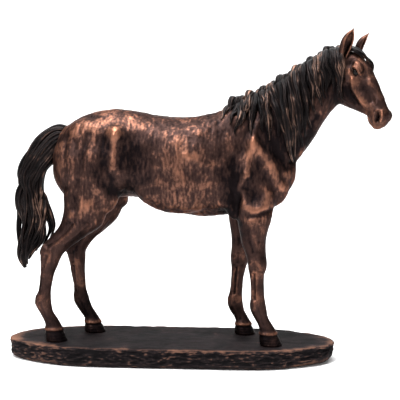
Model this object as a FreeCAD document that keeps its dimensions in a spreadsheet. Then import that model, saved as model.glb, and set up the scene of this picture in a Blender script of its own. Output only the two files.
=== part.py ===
import FreeCAD, Part

# A standing horse statuette on a long plinth, cold-cast in sections that are pinned together.
#
# Frame: millimetres, +Z up. The origin is the centre of the plinth's underside, where the felt
# rests on the table. +X is the way the horse faces and +Y is the horse's left side.
#
# The horse is cast as torso, neck, head, four legs, tail, mane, forelock and two ears. Steel dowels
# join the castings at flat faces. A screw through the plinth, with a washer, holds each hoof, and
# a sheet of felt covers the screw heads.
#
# Castings are skinned over elliptical sections. Their stations are drawn for a horse
# DRAWN_HEIGHT high at the ear tips and are scaled by Sizes.scale to the height that is asked for.
import math
import os
from collections import namedtuple

import Sketcher
from FreeCAD import Placement, Rotation, Vector

DRAWN_HEIGHT = 241.0  # ear tips above the plinth's top, at the scale of the stations below

doc = FreeCAD.newDocument("horse_statuette")

# ---------------------------------------------------------------- driving dimensions
sizes = doc.addObject("Spreadsheet::Sheet", "Sizes")
next_row = [1]


def size(alias, value, note):
    """Writes one driving dimension, or a formula of others, to the next row of the sheet."""
    row = next_row[0]
    sizes.set(f"A{row}", note)
    sizes.set(f"B{row}", str(value))
    sizes.setAlias(f"B{row}", alias)
    next_row[0] = row + 1


size("horse_height", 241, "ear tips above the plinth's top, mm")
size("scale", f"=horse_height / {DRAWN_HEIGHT}", "station scale")
size("plinth_length", 256, "along X, mm")
size("plinth_width", 80, "along Y, mm")
size("plinth_thickness", 14.2, "plinth casting without the felt, mm")
size("plinth_side", 158, "straight part of each long side, mm")
size("plinth_end", 34, "straight part of each end, mm")
size("corner_radius", 22, "softened corners of the plinth's outline, mm")
size("foot_radius", 3, "rounding where the plinth meets the table, mm")
size("rim_chamfer", 0.8, "worn upper edge of the plinth, mm")
size("felt_thickness", 0.8, "mm")
size("felt_inset", 5, "felt edge inside the plinth's outline, mm")
size("screw_diameter", 3, "shank of the hoof screws, mm")
size("screw_head_diameter", 5.6, "mm")
size("screw_head_height", 2.2, "mm")
size("hoof_bite", 8, "length of screw inside each hoof, mm")
size("screw_clearance", 0.2, "radial, shank in the plinth and washer, mm")
size("washer_diameter", 7.4, "mm")
size("washer_thickness", 0.6, "mm")
size("counterbore_depth", 5, "mm")
size("counterbore_clearance", 0.5, "radial, around the washer, mm")
size("dowel_diameter", 4, "leg, neck and head dowels, mm")
size("dowel_bite", 9, "length of a dowel in each casting, mm")
size("neck_dowel_bite", 14, "the same at the neck, where the shoulder overlaps the joint, mm")
size("tail_dowel_diameter", 3, "mm")
size("pin_clearance", 0.05, "radial, dowel or screw in its casting, mm")
size("end_clearance", 0.5, "beyond each end of a dowel or screw, mm")
size("ear_wall", 0.9, "rim of the hollow ear, mm")
size("bond_line", 0.2, "adhesive between the neck and the mane, mm")
size("ground", "=felt_thickness + plinth_thickness", "top of the plinth above the table, mm")
doc.recompute()


def value(alias):
    """A driving dimension as a plain number."""
    return float(sizes.get(alias))


# ---------------------------------------------------------------- sections and skins
# One elliptical section of a casting. x, y and z are its centre above the plinth's top, tilt is the
# angle of the limb's axis above +X in the side view, and yaw turns the section about the vertical.
# tall is the radius in the side view and wide is the radius across the horse.
Section = namedtuple("Section", "x y z tilt yaw tall wide")
DOWN = -90
RING_POINTS = 12


def axes_of(section):
    """The section's tall direction, wide direction and limb axis."""
    tilt = math.radians(section.tilt)
    turn = Rotation(Vector(0, 0, 1), section.yaw)
    tall = turn.multVec(Vector(-math.sin(tilt), 0, math.cos(tilt)))
    axis = turn.multVec(Vector(math.cos(tilt), 0, math.sin(tilt)))
    return tall, axis.cross(tall), axis


def place(obj, point, rotation):
    """Puts an object at a station point, which scales with the horse and stands on the plinth."""
    obj.Placement = Placement(Vector(), rotation)
    obj.setExpression("Placement.Base.x", f"{point.x:.4f} * Sizes.scale")
    obj.setExpression("Placement.Base.y", f"{point.y:.4f} * Sizes.scale")
    obj.setExpression("Placement.Base.z", f"{point.z:.4f} * Sizes.scale + Sizes.ground")


def ellipse(section):
    """The points of one elliptical ring, from the top round by the horse's own right."""
    scale, ground = value("scale"), Vector(0, 0, value("ground"))
    tall, wide, _ = axes_of(section)
    centre = Vector(section.x, section.y, section.z) * scale + ground
    reach, spread = tall * section.tall * scale, wide * section.wide * scale
    turns = [2 * math.pi * i / RING_POINTS for i in range(RING_POINTS)]
    return [centre + reach * math.cos(a) + spread * math.sin(a) for a in turns]


def skin(name, sections, ring_of=ellipse):
    """A solid casting skinned over rings set out on its sections.

    Part::Loft splits a ring wrongly when its plane is tilted against the next one, so the skin is
    set out here: one periodic cubic round each ring, and one cubic rail through each ring pole.
    """
    rings, stations = [], [0.0]
    for section in sections:
        points = ring_of(section)
        ring = Part.BSplineCurve()
        ring.interpolate(
            Points=points,
            Parameters=[float(i) for i in range(len(points) + 1)],
            PeriodicFlag=True,
        )
        centre = Vector(section.x, section.y, section.z) * value("scale")
        if rings:
            stations.append(stations[-1] + (centre - last_centre).Length)
        rings.append(ring)
        last_centre = centre
    rails = []
    for pole in range(1, ring.NbPoles + 1):
        rail = Part.BSplineCurve()
        rail.interpolate(Points=[r.getPole(pole) for r in rings], Parameters=stations)
        rails.append(rail)
    surface = Part.BSplineSurface()
    surface.buildFromPolesMultsKnots(
        [r.getPoles() for r in rails],
        ring.getMultiplicities(), rail.getMultiplicities(),
        ring.getKnots(), rail.getKnots(),
        True, False, ring.Degree, rail.Degree,
    )
    side = surface.toShape()
    caps = [Part.Face(Part.Wire([edge])) for edge in side.Edges if edge.isClosed()]
    shell = Part.Shell([side, *caps])
    shell.sewShape()
    solid = Part.Solid(shell)
    if solid.Volume < 0:
        solid.reverse()
    casting = doc.addObject("Part::Feature", name)
    casting.Shape = solid
    return casting


def fuse(name, *shapes):
    joined = doc.addObject("Part::MultiFuse", name)
    joined.Shapes = list(shapes)
    joined.Refine = False
    return joined


def cut(name, base, tool):
    result = doc.addObject("Part::Cut", name)
    result.Base = base
    result.Tool = tool
    result.Refine = False
    return result


# ---------------------------------------------------------------- torso
# Barrel from the buttocks to the breast, with stubs where the legs and the neck are joined on.
BARREL = [
    Section(-89, 0, 129, 0, 0, 13, 11),
    Section(-83, 0, 130, 0, 0, 31, 20),
    Section(-70, 0, 134, 0, 0, 37.5, 25.5),
    Section(-45, 0, 138, 0, 0, 40, 27.5),
    Section(-20, 0, 140.5, 0, 0, 35.5, 27.5),
    Section(0, 0, 136, 0, 0, 36.8, 29),
    Section(20, 0, 135, 0, 0, 38.8, 29),
    Section(40, 0, 138.5, 0, 0, 41.5, 26),
    Section(60, 0, 138, 0, 0, 40, 23),
    Section(78, 0, 132, 0, 0, 30, 21),
    Section(90, 0, 131, 0, 0, 19, 16),
    Section(97, 0, 131, 0, 0, 9, 8),
]
FORE_JOINT_Z = 97.0
HIND_JOINT_Z = 95.0
RIGHT_SHOULDER = [
    Section(64, -9, 135, DOWN, 0, 18, 9),
    Section(65.5, -14.5, 113, DOWN, 0, 17, 11),
    Section(65.5, -17, FORE_JOINT_Z, DOWN, 0, 13.5, 10),
]
LEFT_SHOULDER = [
    Section(62, 9, 135, DOWN, 0, 18, 9),
    Section(58, 14.5, 113, DOWN, 0, 16.5, 11),
    Section(56, 17, FORE_JOINT_Z, DOWN, 0, 12.5, 10),
]
RIGHT_THIGH = [
    Section(-60, -11, 140, DOWN, 0, 22, 11),
    Section(-63, -14, 115, DOWN, 0, 21, 12),
    Section(-66, -15.5, HIND_JOINT_Z, DOWN, 0, 16, 10.5),
]
LEFT_THIGH = [
    Section(-58, 11, 140, DOWN, 0, 22, 11),
    Section(-57, 14, 115, DOWN, 0, 20.5, 12),
    Section(-56, 15.5, HIND_JOINT_Z, DOWN, 0, 16, 10.5),
]
NECK_JOINT = Section(70, 0, 158, 51, 0, 34.5, 17.5)
NECK_ROOT = [Section(54, 0, 138, 51, 0, 28, 17), NECK_JOINT]

torso_blank = fuse(
    "torso_blank",
    skin("barrel", BARREL),
    skin("right_shoulder", RIGHT_SHOULDER),
    skin("left_shoulder", LEFT_SHOULDER),
    skin("right_thigh", RIGHT_THIGH),
    skin("left_thigh", LEFT_THIGH),
    skin("neck_root", NECK_ROOT),
)

# ---------------------------------------------------------------- neck
# The neck rises from its joint on the torso and bends to the horse's right.
HEAD_JOINT = Section(130, -4, 206, 10, -20, 21, 10.5)
NECK = [
    NECK_JOINT,
    Section(92.5, -0.5, 175.5, 40, -3, 27, 14),
    Section(112, -2, 193.5, 31, -10, 22.5, 11.5),
    HEAD_JOINT,
]
neck_blank = skin("neck_blank", NECK)

# ---------------------------------------------------------------- head
# The skull fans round from the upright joint behind the jaw to the long axis of the face.
HEAD_YAW = -33
HEAD = [
    HEAD_JOINT,
    Section(137.5, -6.5, 205, -14, -27, 19.5, 11.5),
    Section(143.5, -9.5, 200.5, -40, HEAD_YAW, 16.5, 12),
    Section(148.5, -12.5, 191, -56, HEAD_YAW, 13.5, 10.5),
    Section(154, -16, 180.5, -60, HEAD_YAW, 10, 8),
    Section(158.5, -19, 171.5, -60, HEAD_YAW, 8.6, 7.4),
    Section(161, -20.8, 166, -60, HEAD_YAW, 6, 5),
]
head_blank = skin("head_blank", HEAD)


# ---------------------------------------------------------------- ears
# Each ear is a pointed shell with a hollow that opens forwards.
def ear(name, x, y, z, yaw, lean):
    base = Section(x, y, z, 78 + lean, yaw, 4.6, 4)
    tall, wide, axis = axes_of(base)

    def along(distance, tall_radius, wide_radius):
        centre = Vector(x, y, z) + axis * distance
        return base._replace(x=centre.x, y=centre.y, z=centre.z, tall=tall_radius, wide=wide_radius)

    shell = skin(f"{name}_shell", [along(-6, 3.6, 3.2), along(5, 4.9, 4.2), along(17, 1.4, 1.2)])
    opening = Vector(x, y, z) + axis * 7 - tall * 4.6
    hollow = doc.addObject("Part::Ellipsoid", f"{name}_hollow")
    hollow.setExpression("Radius1", "4.4 * Sizes.scale - Sizes.ear_wall")
    hollow.setExpression("Radius2", "7.5 * Sizes.scale")
    hollow.setExpression("Radius3", "3.9 * Sizes.scale - Sizes.ear_wall")
    place(hollow, opening, Rotation(axis, wide, tall, "XYZ"))
    return cut(f"{name}_scooped", shell, hollow)


right_ear_blank = ear("right_ear", 133.5, -12.5, 226, -25, 6)
left_ear_blank = ear("left_ear", 142, -1, 226, -25, -4)

# ---------------------------------------------------------------- tail
# The tail leaves the croup backwards and hangs, and one lock of it rests near the right hock.
TAIL_JOINT = Section(-87, -1, 151, 200, 0, 14, 9)
TAIL = [
    TAIL_JOINT,
    Section(-100, -2, 145, 235, 0, 12.5, 9.5),
    Section(-108, -4, 130, 252, 0, 11, 9.5),
    Section(-111.5, -6, 110, 268, 0, 11, 9.5),
    Section(-110.5, -8, 93, 270, 0, 11, 9),
    Section(-113, -9, 79.5, 270, 0, 8, 7.5),
    Section(-114, -9.5, 67.5, 270, 0, 5.8, 5.4),
    Section(-115, -10, 58, 270, 0, 2.6, 2.4),
]
TAIL_LOCK = [
    Section(-106, -9, 105, 278, 0, 6, 5),
    Section(-101, -12, 89, 282, 0, 5.6, 4.6),
    Section(-101.5, -14, 74, 265, 0, 1.8, 1.6),
]
tail_blank = fuse("tail_blank", skin("tail_hair", TAIL), skin("tail_lock", TAIL_LOCK))


# ---------------------------------------------------------------- legs
def hoof_end(x, y, coronet_z, tall, wide, back):
    """Coronet and ground sections of a hoof whose toe is further forward than its heel."""
    return [
        Section(x - back, y, coronet_z, DOWN, 0, tall * 0.86, wide * 0.86),
        Section(x, y, 0, DOWN, 0, tall, wide),
    ]


LEGS = {
    "right_fore_leg": [
        RIGHT_SHOULDER[-1],
        Section(64.5, -17.3, 83.5, DOWN, 0, 10.3, 8.2),
        Section(66.3, -17.6, 71, DOWN, 0, 7.8, 6.6),
        Section(67, -17.8, 64, DOWN, 0, 7.4, 6.5),
        Section(67.2, -18, 57, DOWN, 0, 6.1, 4.9),
        Section(68, -18, 45, DOWN, 0, 5.4, 4.2),
        Section(68.3, -18, 35.5, DOWN, 0, 5.5, 4.6),
        Section(68.3, -18, 30, -80, 0, 6.5, 5.4),
        Section(71.6, -18, 20, -62, 0, 5.1, 4.5),
        *hoof_end(78, -18, 9.5, 9.2, 8, 2.8),
    ],
    "left_fore_leg": [
        LEFT_SHOULDER[-1],
        Section(56, 17.3, 80, DOWN, 0, 9.8, 8.2),
        Section(53, 17.6, 66, DOWN, 0, 7.6, 6.6),
        Section(52.6, 17.8, 60, DOWN, 0, 7.2, 6.5),
        Section(52, 18, 52, DOWN, 0, 5.9, 4.9),
        Section(50.8, 18, 40, DOWN, 0, 5.2, 4.2),
        Section(50, 18, 31, DOWN, 0, 5.4, 4.6),
        Section(49.8, 18, 25.5, -80, 0, 6.2, 5.3),
        Section(52.6, 18, 17.5, -60, 0, 5, 4.4),
        *hoof_end(57.5, 18, 8.5, 8.8, 7.8, 2.6),
    ],
    "right_hind_leg": [
        RIGHT_THIGH[-1],
        Section(-74.5, -15.8, 88.5, -118, 0, 12, 9),
        Section(-85, -16, 79, -128, 0, 8.8, 7),
        Section(-93, -16, 70, -108, 0, 8.8, 6.6),
        Section(-96, -16, 60.5, -98, 0, 6.8, 5.4),
        Section(-97.7, -16, 50, -96, 0, 5.4, 4.4),
        Section(-99.5, -16, 39, -94, 0, 5.5, 4.6),
        Section(-100.3, -16, 32.5, -84, 0, 6.4, 5.5),
        Section(-97.6, -16, 21.5, -64, 0, 5.1, 4.6),
        *hoof_end(-91, -16, 9.5, 9.2, 8, 2.6),
    ],
    "left_hind_leg": [
        LEFT_THIGH[-1],
        Section(-60, 15.8, 87, -118, 0, 12, 9),
        Section(-69, 16, 76, -124, 0, 8.8, 7),
        Section(-74.2, 16, 66, -102, 0, 8.4, 6.6),
        Section(-74.7, 16, 56, -90, 0, 6.6, 5.4),
        Section(-73.8, 16, 46, -87, 0, 5.4, 4.4),
        Section(-72.8, 16, 35, -86, 0, 5.5, 4.6),
        Section(-71.2, 16, 27, -70, 0, 6.2, 5.5),
        Section(-66.8, 16, 17.5, -54, 0, 4.9, 4.5),
        *hoof_end(-61.5, 16, 8.5, 9, 7.8, 3),
    ],
}
leg_blanks = {name: skin(f"{name}_blank", sections) for name, sections in LEGS.items()}

# ---------------------------------------------------------------- plinth
PLANES = {"XY": "XY_Plane", "XZ": "XZ_Plane"}


def new_body(name):
    return doc.addObject("PartDesign::Body", name)


def sketch_on(body, name, plane):
    """A sketch on one of the body's own origin planes."""
    sketch = body.newObject("Sketcher::SketchObject", name)
    feature = next(f for f in body.Origin.OriginFeatures if f.Role == PLANES[plane])
    sketch.AttachmentSupport = [(feature, "")]
    sketch.MapMode = "FlatFace"
    return sketch


def corner(sketch, index, x, y):
    """Binds the start of line index to expressions for x and y, measured from the origin."""
    for axis, expression in (("DistanceX", x), ("DistanceY", y)):
        number = sketch.addConstraint(Sketcher.Constraint(axis, index, 1, 1.0))
        sketch.setExpression(f"Constraints[{number}]", expression)


def polygon(sketch, corners, start):
    """A closed outline of lines. corners are pairs of expressions and start their first guess."""
    count = len(corners)
    for i in range(count):
        a, b = start[i], start[(i + 1) % count]
        sketch.addGeometry(Part.LineSegment(Vector(*a, 0), Vector(*b, 0)), False)
    for i in range(count):
        sketch.addConstraint(Sketcher.Constraint("Coincident", i, 2, (i + 1) % count, 1))
    for i, (x, y) in enumerate(corners):
        corner(sketch, i, x, y)


def octagon_corners(inset):
    """Corner expressions of the plinth's outline, moved inwards by an expression."""
    long_x, long_y = f"(Sizes.plinth_length / 2 - {inset})", f"(Sizes.plinth_width / 2 - {inset})"
    side_x, end_y = "(Sizes.plinth_side / 2)", "(Sizes.plinth_end / 2)"
    quarter = [(side_x, long_y), (long_x, end_y)]
    corners = [(f"-{x}", f"-{y}") for x, y in quarter[::-1]]
    corners += [(x, f"-{y}") for x, y in quarter]
    corners += [(x, y) for x, y in quarter[::-1]]
    corners += [(f"-{x}", y) for x, y in quarter]
    return corners


def octagon_guess(inset):
    long_x, long_y = value("plinth_length") / 2 - inset, value("plinth_width") / 2 - inset
    side_x, end_y = value("plinth_side") / 2, value("plinth_end") / 2
    return [
        (-long_x, -end_y), (-side_x, -long_y), (side_x, -long_y), (long_x, -end_y),
        (long_x, end_y), (side_x, long_y), (-side_x, long_y), (-long_x, end_y),
    ]


def slab(name, inset_expression, inset, thickness, bottom):
    """A padded octagon with softened upright corners, its underside at the height bottom."""
    body = new_body(name)
    outline = sketch_on(body, f"{name}_outline", "XY")
    polygon(outline, octagon_corners(inset_expression), octagon_guess(inset))
    outline.setExpression("AttachmentOffset.Base.z", bottom)
    pad = body.newObject("PartDesign::Pad", f"{name}_pad")
    pad.Profile = outline
    pad.setExpression("Length", thickness)
    outline.Visibility = False
    doc.recompute()
    upright = [
        f"Edge{i + 1}"
        for i, edge in enumerate(pad.Shape.Edges)
        if abs(edge.tangentAt(edge.FirstParameter).z) > 0.99
    ]
    soft = body.newObject("PartDesign::Fillet", f"{name}_corners")
    soft.Base = (pad, upright)
    soft.setExpression("Radius", f"Sizes.corner_radius - {inset_expression}")
    doc.recompute()
    return body, soft


def edges_at(feature, height):
    """Names of a feature's outline edges that lie flat at a height."""
    names = []
    for i, edge in enumerate(feature.Shape.Edges):
        box = edge.BoundBox
        if abs(box.ZMin - height) < 1e-4 and abs(box.ZMax - height) < 1e-4:
            names.append(f"Edge{i + 1}")
    return names


plinth_body, plinth_soft = slab("plinth_casting", "0", 0, "Sizes.plinth_thickness", "Sizes.felt_thickness")
foot = plinth_body.newObject("PartDesign::Fillet", "plinth_foot")
foot.Base = (plinth_soft, edges_at(plinth_soft, value("felt_thickness")))
foot.setExpression("Radius", "Sizes.foot_radius")
doc.recompute()
rim = plinth_body.newObject("PartDesign::Chamfer", "plinth_rim")
rim.Base = (foot, edges_at(foot, value("ground")))
rim.setExpression("Size", "Sizes.rim_chamfer")
plinth_body.Tip = rim

felt_body, felt_soft = slab("felt_sheet", "Sizes.felt_inset", value("felt_inset"), "Sizes.felt_thickness", "0")
felt_body.Label = "felt"
doc.recompute()


# ---------------------------------------------------------------- screws and washers under the hooves
def revolved(name, corners, start):
    """A body revolved about its own Z axis from a profile of expression corners in XZ."""
    body = new_body(name)
    profile = sketch_on(body, f"{name}_profile", "XZ")
    polygon(profile, corners, start)
    turn = body.newObject("PartDesign::Revolution", f"{name}_turn")
    turn.Profile = profile
    turn.ReferenceAxis = (profile, ["V_Axis"])
    turn.Angle = 360
    profile.Visibility = False
    body.Tip = turn
    return body


def stand_under(obj, section, height):
    """Places a body on the upright line through a section, at a height expression."""
    obj.setExpression("Placement.Base.x", f"{section.x:.4f} * Sizes.scale")
    obj.setExpression("Placement.Base.y", f"{section.y:.4f} * Sizes.scale")
    obj.setExpression("Placement.Base.z", height)


def rod(name, radius, length):
    """A cylinder bound to expressions, used as a drill."""
    drill = doc.addObject("Part::Cylinder", name)
    drill.setExpression("Radius", radius)
    drill.setExpression("Height", length)
    return drill


SEAT = "Sizes.felt_thickness + Sizes.counterbore_depth"
SHANK = "Sizes.screw_diameter / 2"
HEAD_R = "Sizes.screw_head_diameter / 2"
WASHER_R = "Sizes.washer_diameter / 2"
SHANK_LENGTH = (
    "(Sizes.plinth_thickness - Sizes.counterbore_depth + Sizes.washer_thickness + Sizes.hoof_bite)"
)
screws, washers, plinth_drills, hoof_drills = {}, {}, [], {}
for leg_name, sections in LEGS.items():
    foot_name = leg_name.replace("_leg", "")
    hoof = sections[-1]
    centre = hoof._replace(x=(hoof.x + sections[-2].x) / 2)

    screw = revolved(
        f"{foot_name}_screw",
        [("0", "-Sizes.screw_head_height"), (HEAD_R, "-Sizes.screw_head_height"), (HEAD_R, "0"),
         (SHANK, "0"), (SHANK, SHANK_LENGTH), ("0", SHANK_LENGTH)],
        [(0, -2.2), (2.8, -2.2), (2.8, 0), (1.5, 0), (1.5, 17), (0, 17)],
    )
    stand_under(screw, centre, f"{SEAT} - Sizes.washer_thickness")
    screws[foot_name] = screw

    inner = f"{SHANK} + Sizes.screw_clearance"
    washer = revolved(
        f"{foot_name}_washer",
        [(inner, "0"), (WASHER_R, "0"), (WASHER_R, "Sizes.washer_thickness"), (inner, "Sizes.washer_thickness")],
        [(1.7, 0), (3.7, 0), (3.7, 0.6), (1.7, 0.6)],
    )
    stand_under(washer, centre, f"{SEAT} - Sizes.washer_thickness")
    washers[foot_name] = washer

    through = rod(f"{foot_name}_through", inner, "Sizes.plinth_thickness + 2 * Sizes.end_clearance")
    stand_under(through, centre, "Sizes.felt_thickness - Sizes.end_clearance")
    pocket = rod(
        f"{foot_name}_counterbore",
        f"{WASHER_R} + Sizes.counterbore_clearance",
        "Sizes.counterbore_depth + Sizes.end_clearance",
    )
    stand_under(pocket, centre, "Sizes.felt_thickness - Sizes.end_clearance")
    plinth_drills += [through, pocket]

    tapped = rod(
        f"{foot_name}_tapped",
        f"{SHANK} + Sizes.pin_clearance",
        "Sizes.hoof_bite + 2 * Sizes.end_clearance",
    )
    stand_under(tapped, centre, "Sizes.ground - Sizes.end_clearance")
    hoof_drills[leg_name] = tapped

plinth = cut("plinth", plinth_body, fuse("plinth_drills", *plinth_drills))

# ---------------------------------------------------------------- dowels
DOWEL_R = "Sizes.dowel_diameter / 2"
TAIL_DOWEL_R = "Sizes.tail_dowel_diameter / 2"


def dowel(name, section, offset, radius, bite="Sizes.dowel_bite"):
    """A dowel centred on a joint face, offset along the face's tall direction, and its drill."""
    tall, wide, axis = axes_of(section)
    centre = Vector(section.x, section.y, section.z) + tall * offset
    upright = Rotation(tall, wide, axis, "ZXY")
    made = []
    for label, radius_expression, half in (
        (name, radius, bite),
        (f"{name}_drill", f"{radius} + Sizes.pin_clearance", f"({bite} + Sizes.end_clearance)"),
    ):
        cylinder = rod(label, radius_expression, f"2 * {half}")
        place(cylinder, centre, upright)
        for coordinate, share in zip("xyz", (axis.x, axis.y, axis.z)):
            path = f"Placement.Base.{coordinate}"
            ground = " + Sizes.ground" if coordinate == "z" else ""
            station = getattr(centre, coordinate)
            cylinder.setExpression(
                path, f"{station:.4f} * Sizes.scale{ground} - ({share:.6f}) * {half}"
            )
        made.append(cylinder)
    return made


NECK_BITE = "Sizes.neck_dowel_bite"
neck_dowel_upper, neck_upper_drill = dowel("neck_dowel_upper", NECK_JOINT, -3, DOWEL_R, NECK_BITE)
neck_dowel_lower, neck_lower_drill = dowel("neck_dowel_lower", NECK_JOINT, -21, DOWEL_R, NECK_BITE)
head_dowel, head_drill = dowel("head_dowel", HEAD_JOINT, 0, DOWEL_R)
tail_dowel, tail_drill = dowel("tail_dowel", TAIL_JOINT, 4, TAIL_DOWEL_R)
leg_dowels = {
    name: dowel(f"{name}_dowel", sections[0], 0, DOWEL_R) for name, sections in LEGS.items()
}

# ---------------------------------------------------------------- finished castings
torso_drills = fuse(
    "torso_drills", neck_upper_drill, neck_lower_drill, tail_drill,
    *[drill for _, drill in leg_dowels.values()],
)
torso = cut("torso", torso_blank, torso_drills)
neck_trimmed = cut("neck_trimmed", neck_blank, torso_blank)
neck = cut("neck", neck_trimmed, fuse("neck_drills", neck_upper_drill, neck_lower_drill, head_drill))
head = cut("head", head_blank, head_drill)
right_ear = cut("right_ear", right_ear_blank, head_blank)
left_ear = cut("left_ear", left_ear_blank, head_blank)
tail_trimmed = cut("tail_trimmed", tail_blank, torso_blank)
tail_clear = cut("tail_clear", tail_trimmed, leg_blanks["right_hind_leg"])
tail = cut("tail", tail_clear, tail_drill)
legs = {
    name: cut(name, leg_blanks[name], fuse(f"{name}_drills", leg_dowels[name][1], hoof_drills[name]))
    for name in LEGS
}

# ---------------------------------------------------------------- mane and forelock
# The mane is a shell over the crest and down the neck's right side, bonded to the neck on a thin
# bond line. It is skinned over the neck's own stations, so it follows the neck all the way up, and
# its lower end is cut off square above the withers.
MANE_LEFT, MANE_RIGHT = -24.0, 104.0
ARC_POINTS = 9


def crescent(section):
    """The points of one crescent lying on the neck: along its bed, and back over its outside."""
    scale, ground = value("scale"), Vector(0, 0, value("ground"))
    tall, wide, _ = axes_of(section)
    centre = Vector(section.x, section.y, section.z) * scale + ground
    bed, outside = [], []
    for i in range(ARC_POINTS):
        part = i / (ARC_POINTS - 1)
        angle = math.radians(MANE_LEFT + (MANE_RIGHT - MANE_LEFT) * part)
        thickness = (1.0 + 4.4 * math.sin(math.pi * part) ** 0.8) * scale
        for points, lift in ((bed, value("bond_line")), (outside, value("bond_line") + thickness)):
            reach = tall * (section.tall * scale + lift) * math.cos(angle)
            spread = wide * (section.wide * scale + lift) * math.sin(angle)
            points.append(centre + reach + spread)
    return bed + outside[::-1]


mane_full = skin("mane_full", NECK, crescent)
withers_block = doc.addObject("Part::Box", "withers_block")
for side in ("Length", "Width", "Height"):
    withers_block.setExpression(side, "100 * Sizes.scale")
tall, wide, axis = axes_of(NECK_JOINT)
corner = Vector(NECK_JOINT.x, NECK_JOINT.y, NECK_JOINT.z) - axis * 89 + (tall - wide) * 50
place(withers_block, corner, Rotation(axis, wide, -tall, "XYZ"))
mane = cut("mane", mane_full, withers_block)

FORELOCK = [
    Section(136, -6, 226.5, 20, -28, 4, 5),
    Section(145, -8.5, 222, -35, -30, 5, 5.5),
    Section(150, -9.5, 212, -60, HEAD_YAW, 3.6, 4.2),
    Section(152.5, -11, 203, -62, HEAD_YAW, 1.6, 1.8),
]
forelock_blank = skin("forelock_blank", FORELOCK)
skull = fuse("skull", head_blank, right_ear_blank, left_ear_blank)
forelock = cut("forelock", forelock_blank, skull)
doc.recompute()

# ---------------------------------------------------------------- check and write
castings = [plinth, felt_body, torso, neck, head, right_ear, left_ear, tail, mane, forelock]
castings += list(legs.values()) + list(screws.values()) + list(washers.values())
castings += [neck_dowel_upper, neck_dowel_lower, head_dowel, tail_dowel]
castings += [pin for pin, _ in leg_dowels.values()]

for feature in doc.Objects:
    if "Invalid" in feature.State or "Error" in feature.State:
        raise RuntimeError(f"{feature.Label} failed: {feature.State}")

os.makedirs("parts", exist_ok=True)
for piece in castings:
    shape = piece.Shape
    if shape.isNull() or not shape.isValid() or shape.Volume <= 0:
        raise RuntimeError(f"{piece.Label} has no valid solid")
    shape.exportStep(f"parts/{piece.Label}.step")
    print(f"{piece.Label}: {len(shape.Solids)} solid(s), {shape.Volume / 1000:.2f} cm3")
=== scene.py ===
import math

import bmesh
import bpy
import numpy as np
from mathutils import Matrix, Vector
from mathutils import noise as bpy_noise
from mathutils.bvhtree import BVHTree


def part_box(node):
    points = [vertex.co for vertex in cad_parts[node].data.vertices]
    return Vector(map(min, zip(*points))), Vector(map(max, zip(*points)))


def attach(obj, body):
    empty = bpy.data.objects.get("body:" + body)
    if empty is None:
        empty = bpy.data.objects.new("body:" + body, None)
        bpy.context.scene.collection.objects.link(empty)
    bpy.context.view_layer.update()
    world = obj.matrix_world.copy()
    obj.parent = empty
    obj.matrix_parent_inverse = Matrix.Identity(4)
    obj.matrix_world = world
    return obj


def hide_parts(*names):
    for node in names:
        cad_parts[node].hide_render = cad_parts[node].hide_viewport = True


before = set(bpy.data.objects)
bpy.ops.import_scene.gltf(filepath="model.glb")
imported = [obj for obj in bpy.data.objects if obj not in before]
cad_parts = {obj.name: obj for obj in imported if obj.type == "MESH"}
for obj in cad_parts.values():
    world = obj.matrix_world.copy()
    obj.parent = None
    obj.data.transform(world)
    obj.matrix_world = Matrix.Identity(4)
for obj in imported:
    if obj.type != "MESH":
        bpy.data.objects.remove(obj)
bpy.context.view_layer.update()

bpy.ops.object.select_all(action="DESELECT")

# ------------------------------------------------------------------------------------------
# The clay horse. The real figure is sculpted in one go in clay, over an armature, and only then
# sawn at the joints into the castings. It is done the same way here: rolls and lumps of clay are
# stuck together and blended, the muscles are pressed in, and the joints are cut last.
# All of this is in millimetres above the plinth's top, until a piece is set down in the frame.
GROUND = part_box("plinth")[1][2]
CLAY_GRAIN = 0.75


def axes_at(tilt, yaw):
    """Forward, up and rightward directions of something tilted up and turned about the vertical."""
    t, w = math.radians(tilt), math.radians(yaw)
    forward = Vector((math.cos(t) * math.cos(w), math.cos(t) * math.sin(w), math.sin(t)))
    up = Vector((-math.sin(t) * math.cos(w), -math.sin(t) * math.sin(w), math.cos(t)))
    return forward, up, forward.cross(up)


def eased(rows, steps):
    """Stations filled in between with a smooth curve through the ones given."""
    rows = np.array(rows, float)
    padded = np.vstack([2 * rows[0] - rows[1], rows, 2 * rows[-1] - rows[-2]])
    filled = []
    for i in range(len(rows) - 1):
        a, b, c, d = padded[i:i + 4]
        for k in range(steps):
            t = k / steps
            filled.append(
                0.5 * (2 * b + (c - a) * t + (2 * a - 5 * b + 4 * c - d) * t ** 2
                       + (3 * b - a - 3 * c + d) * t ** 3)
            )
    filled.append(rows[-1])
    return filled


def mesh_object(name, points, faces):
    mesh = bpy.data.meshes.new(name)
    mesh.from_pydata([tuple(p) for p in points], [], faces)
    mesh.validate()
    body = bpy.data.objects.new(name, mesh)
    bpy.context.collection.objects.link(body)
    return body


def tube_faces(rings, around):
    """Faces between rings of points, with both ends closed."""
    faces = []
    for i in range(rings - 1):
        for k in range(around):
            a, b = i * around + k, i * around + (k + 1) % around
            faces.append((a, b, b + around, a + around))
    faces.append(tuple(range(around))[::-1])
    faces.append(tuple(range((rings - 1) * around, rings * around)))
    return faces


def clay_roll(name, stations, steps=5, around=36):
    """A closed roll of clay through egg-shaped stations.

    A station is x, y, z, tilt, reach upwards or forwards, reach down or back, half width, egg and
    yaw. A positive egg narrows the upper or front half. The egg and the yaw are left off where 0.
    """
    points = []
    rows = eased([(*station, 0, 0)[:9] for station in stations], steps)
    for x, y, z, tilt, upward, downward, wide, egg, yaw in rows:
        _, up, right = axes_at(tilt, yaw)
        for k in range(around):
            a = 2 * math.pi * k / around
            rise = math.cos(a)
            reach = upward if rise > 0 else downward
            spread = wide * math.sin(a) * (1 - egg * rise)
            points.append(Vector((x, y, z)) + up * (reach * rise) + right * spread)
    return mesh_object(name, points, tube_faces(len(rows), around))


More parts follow.
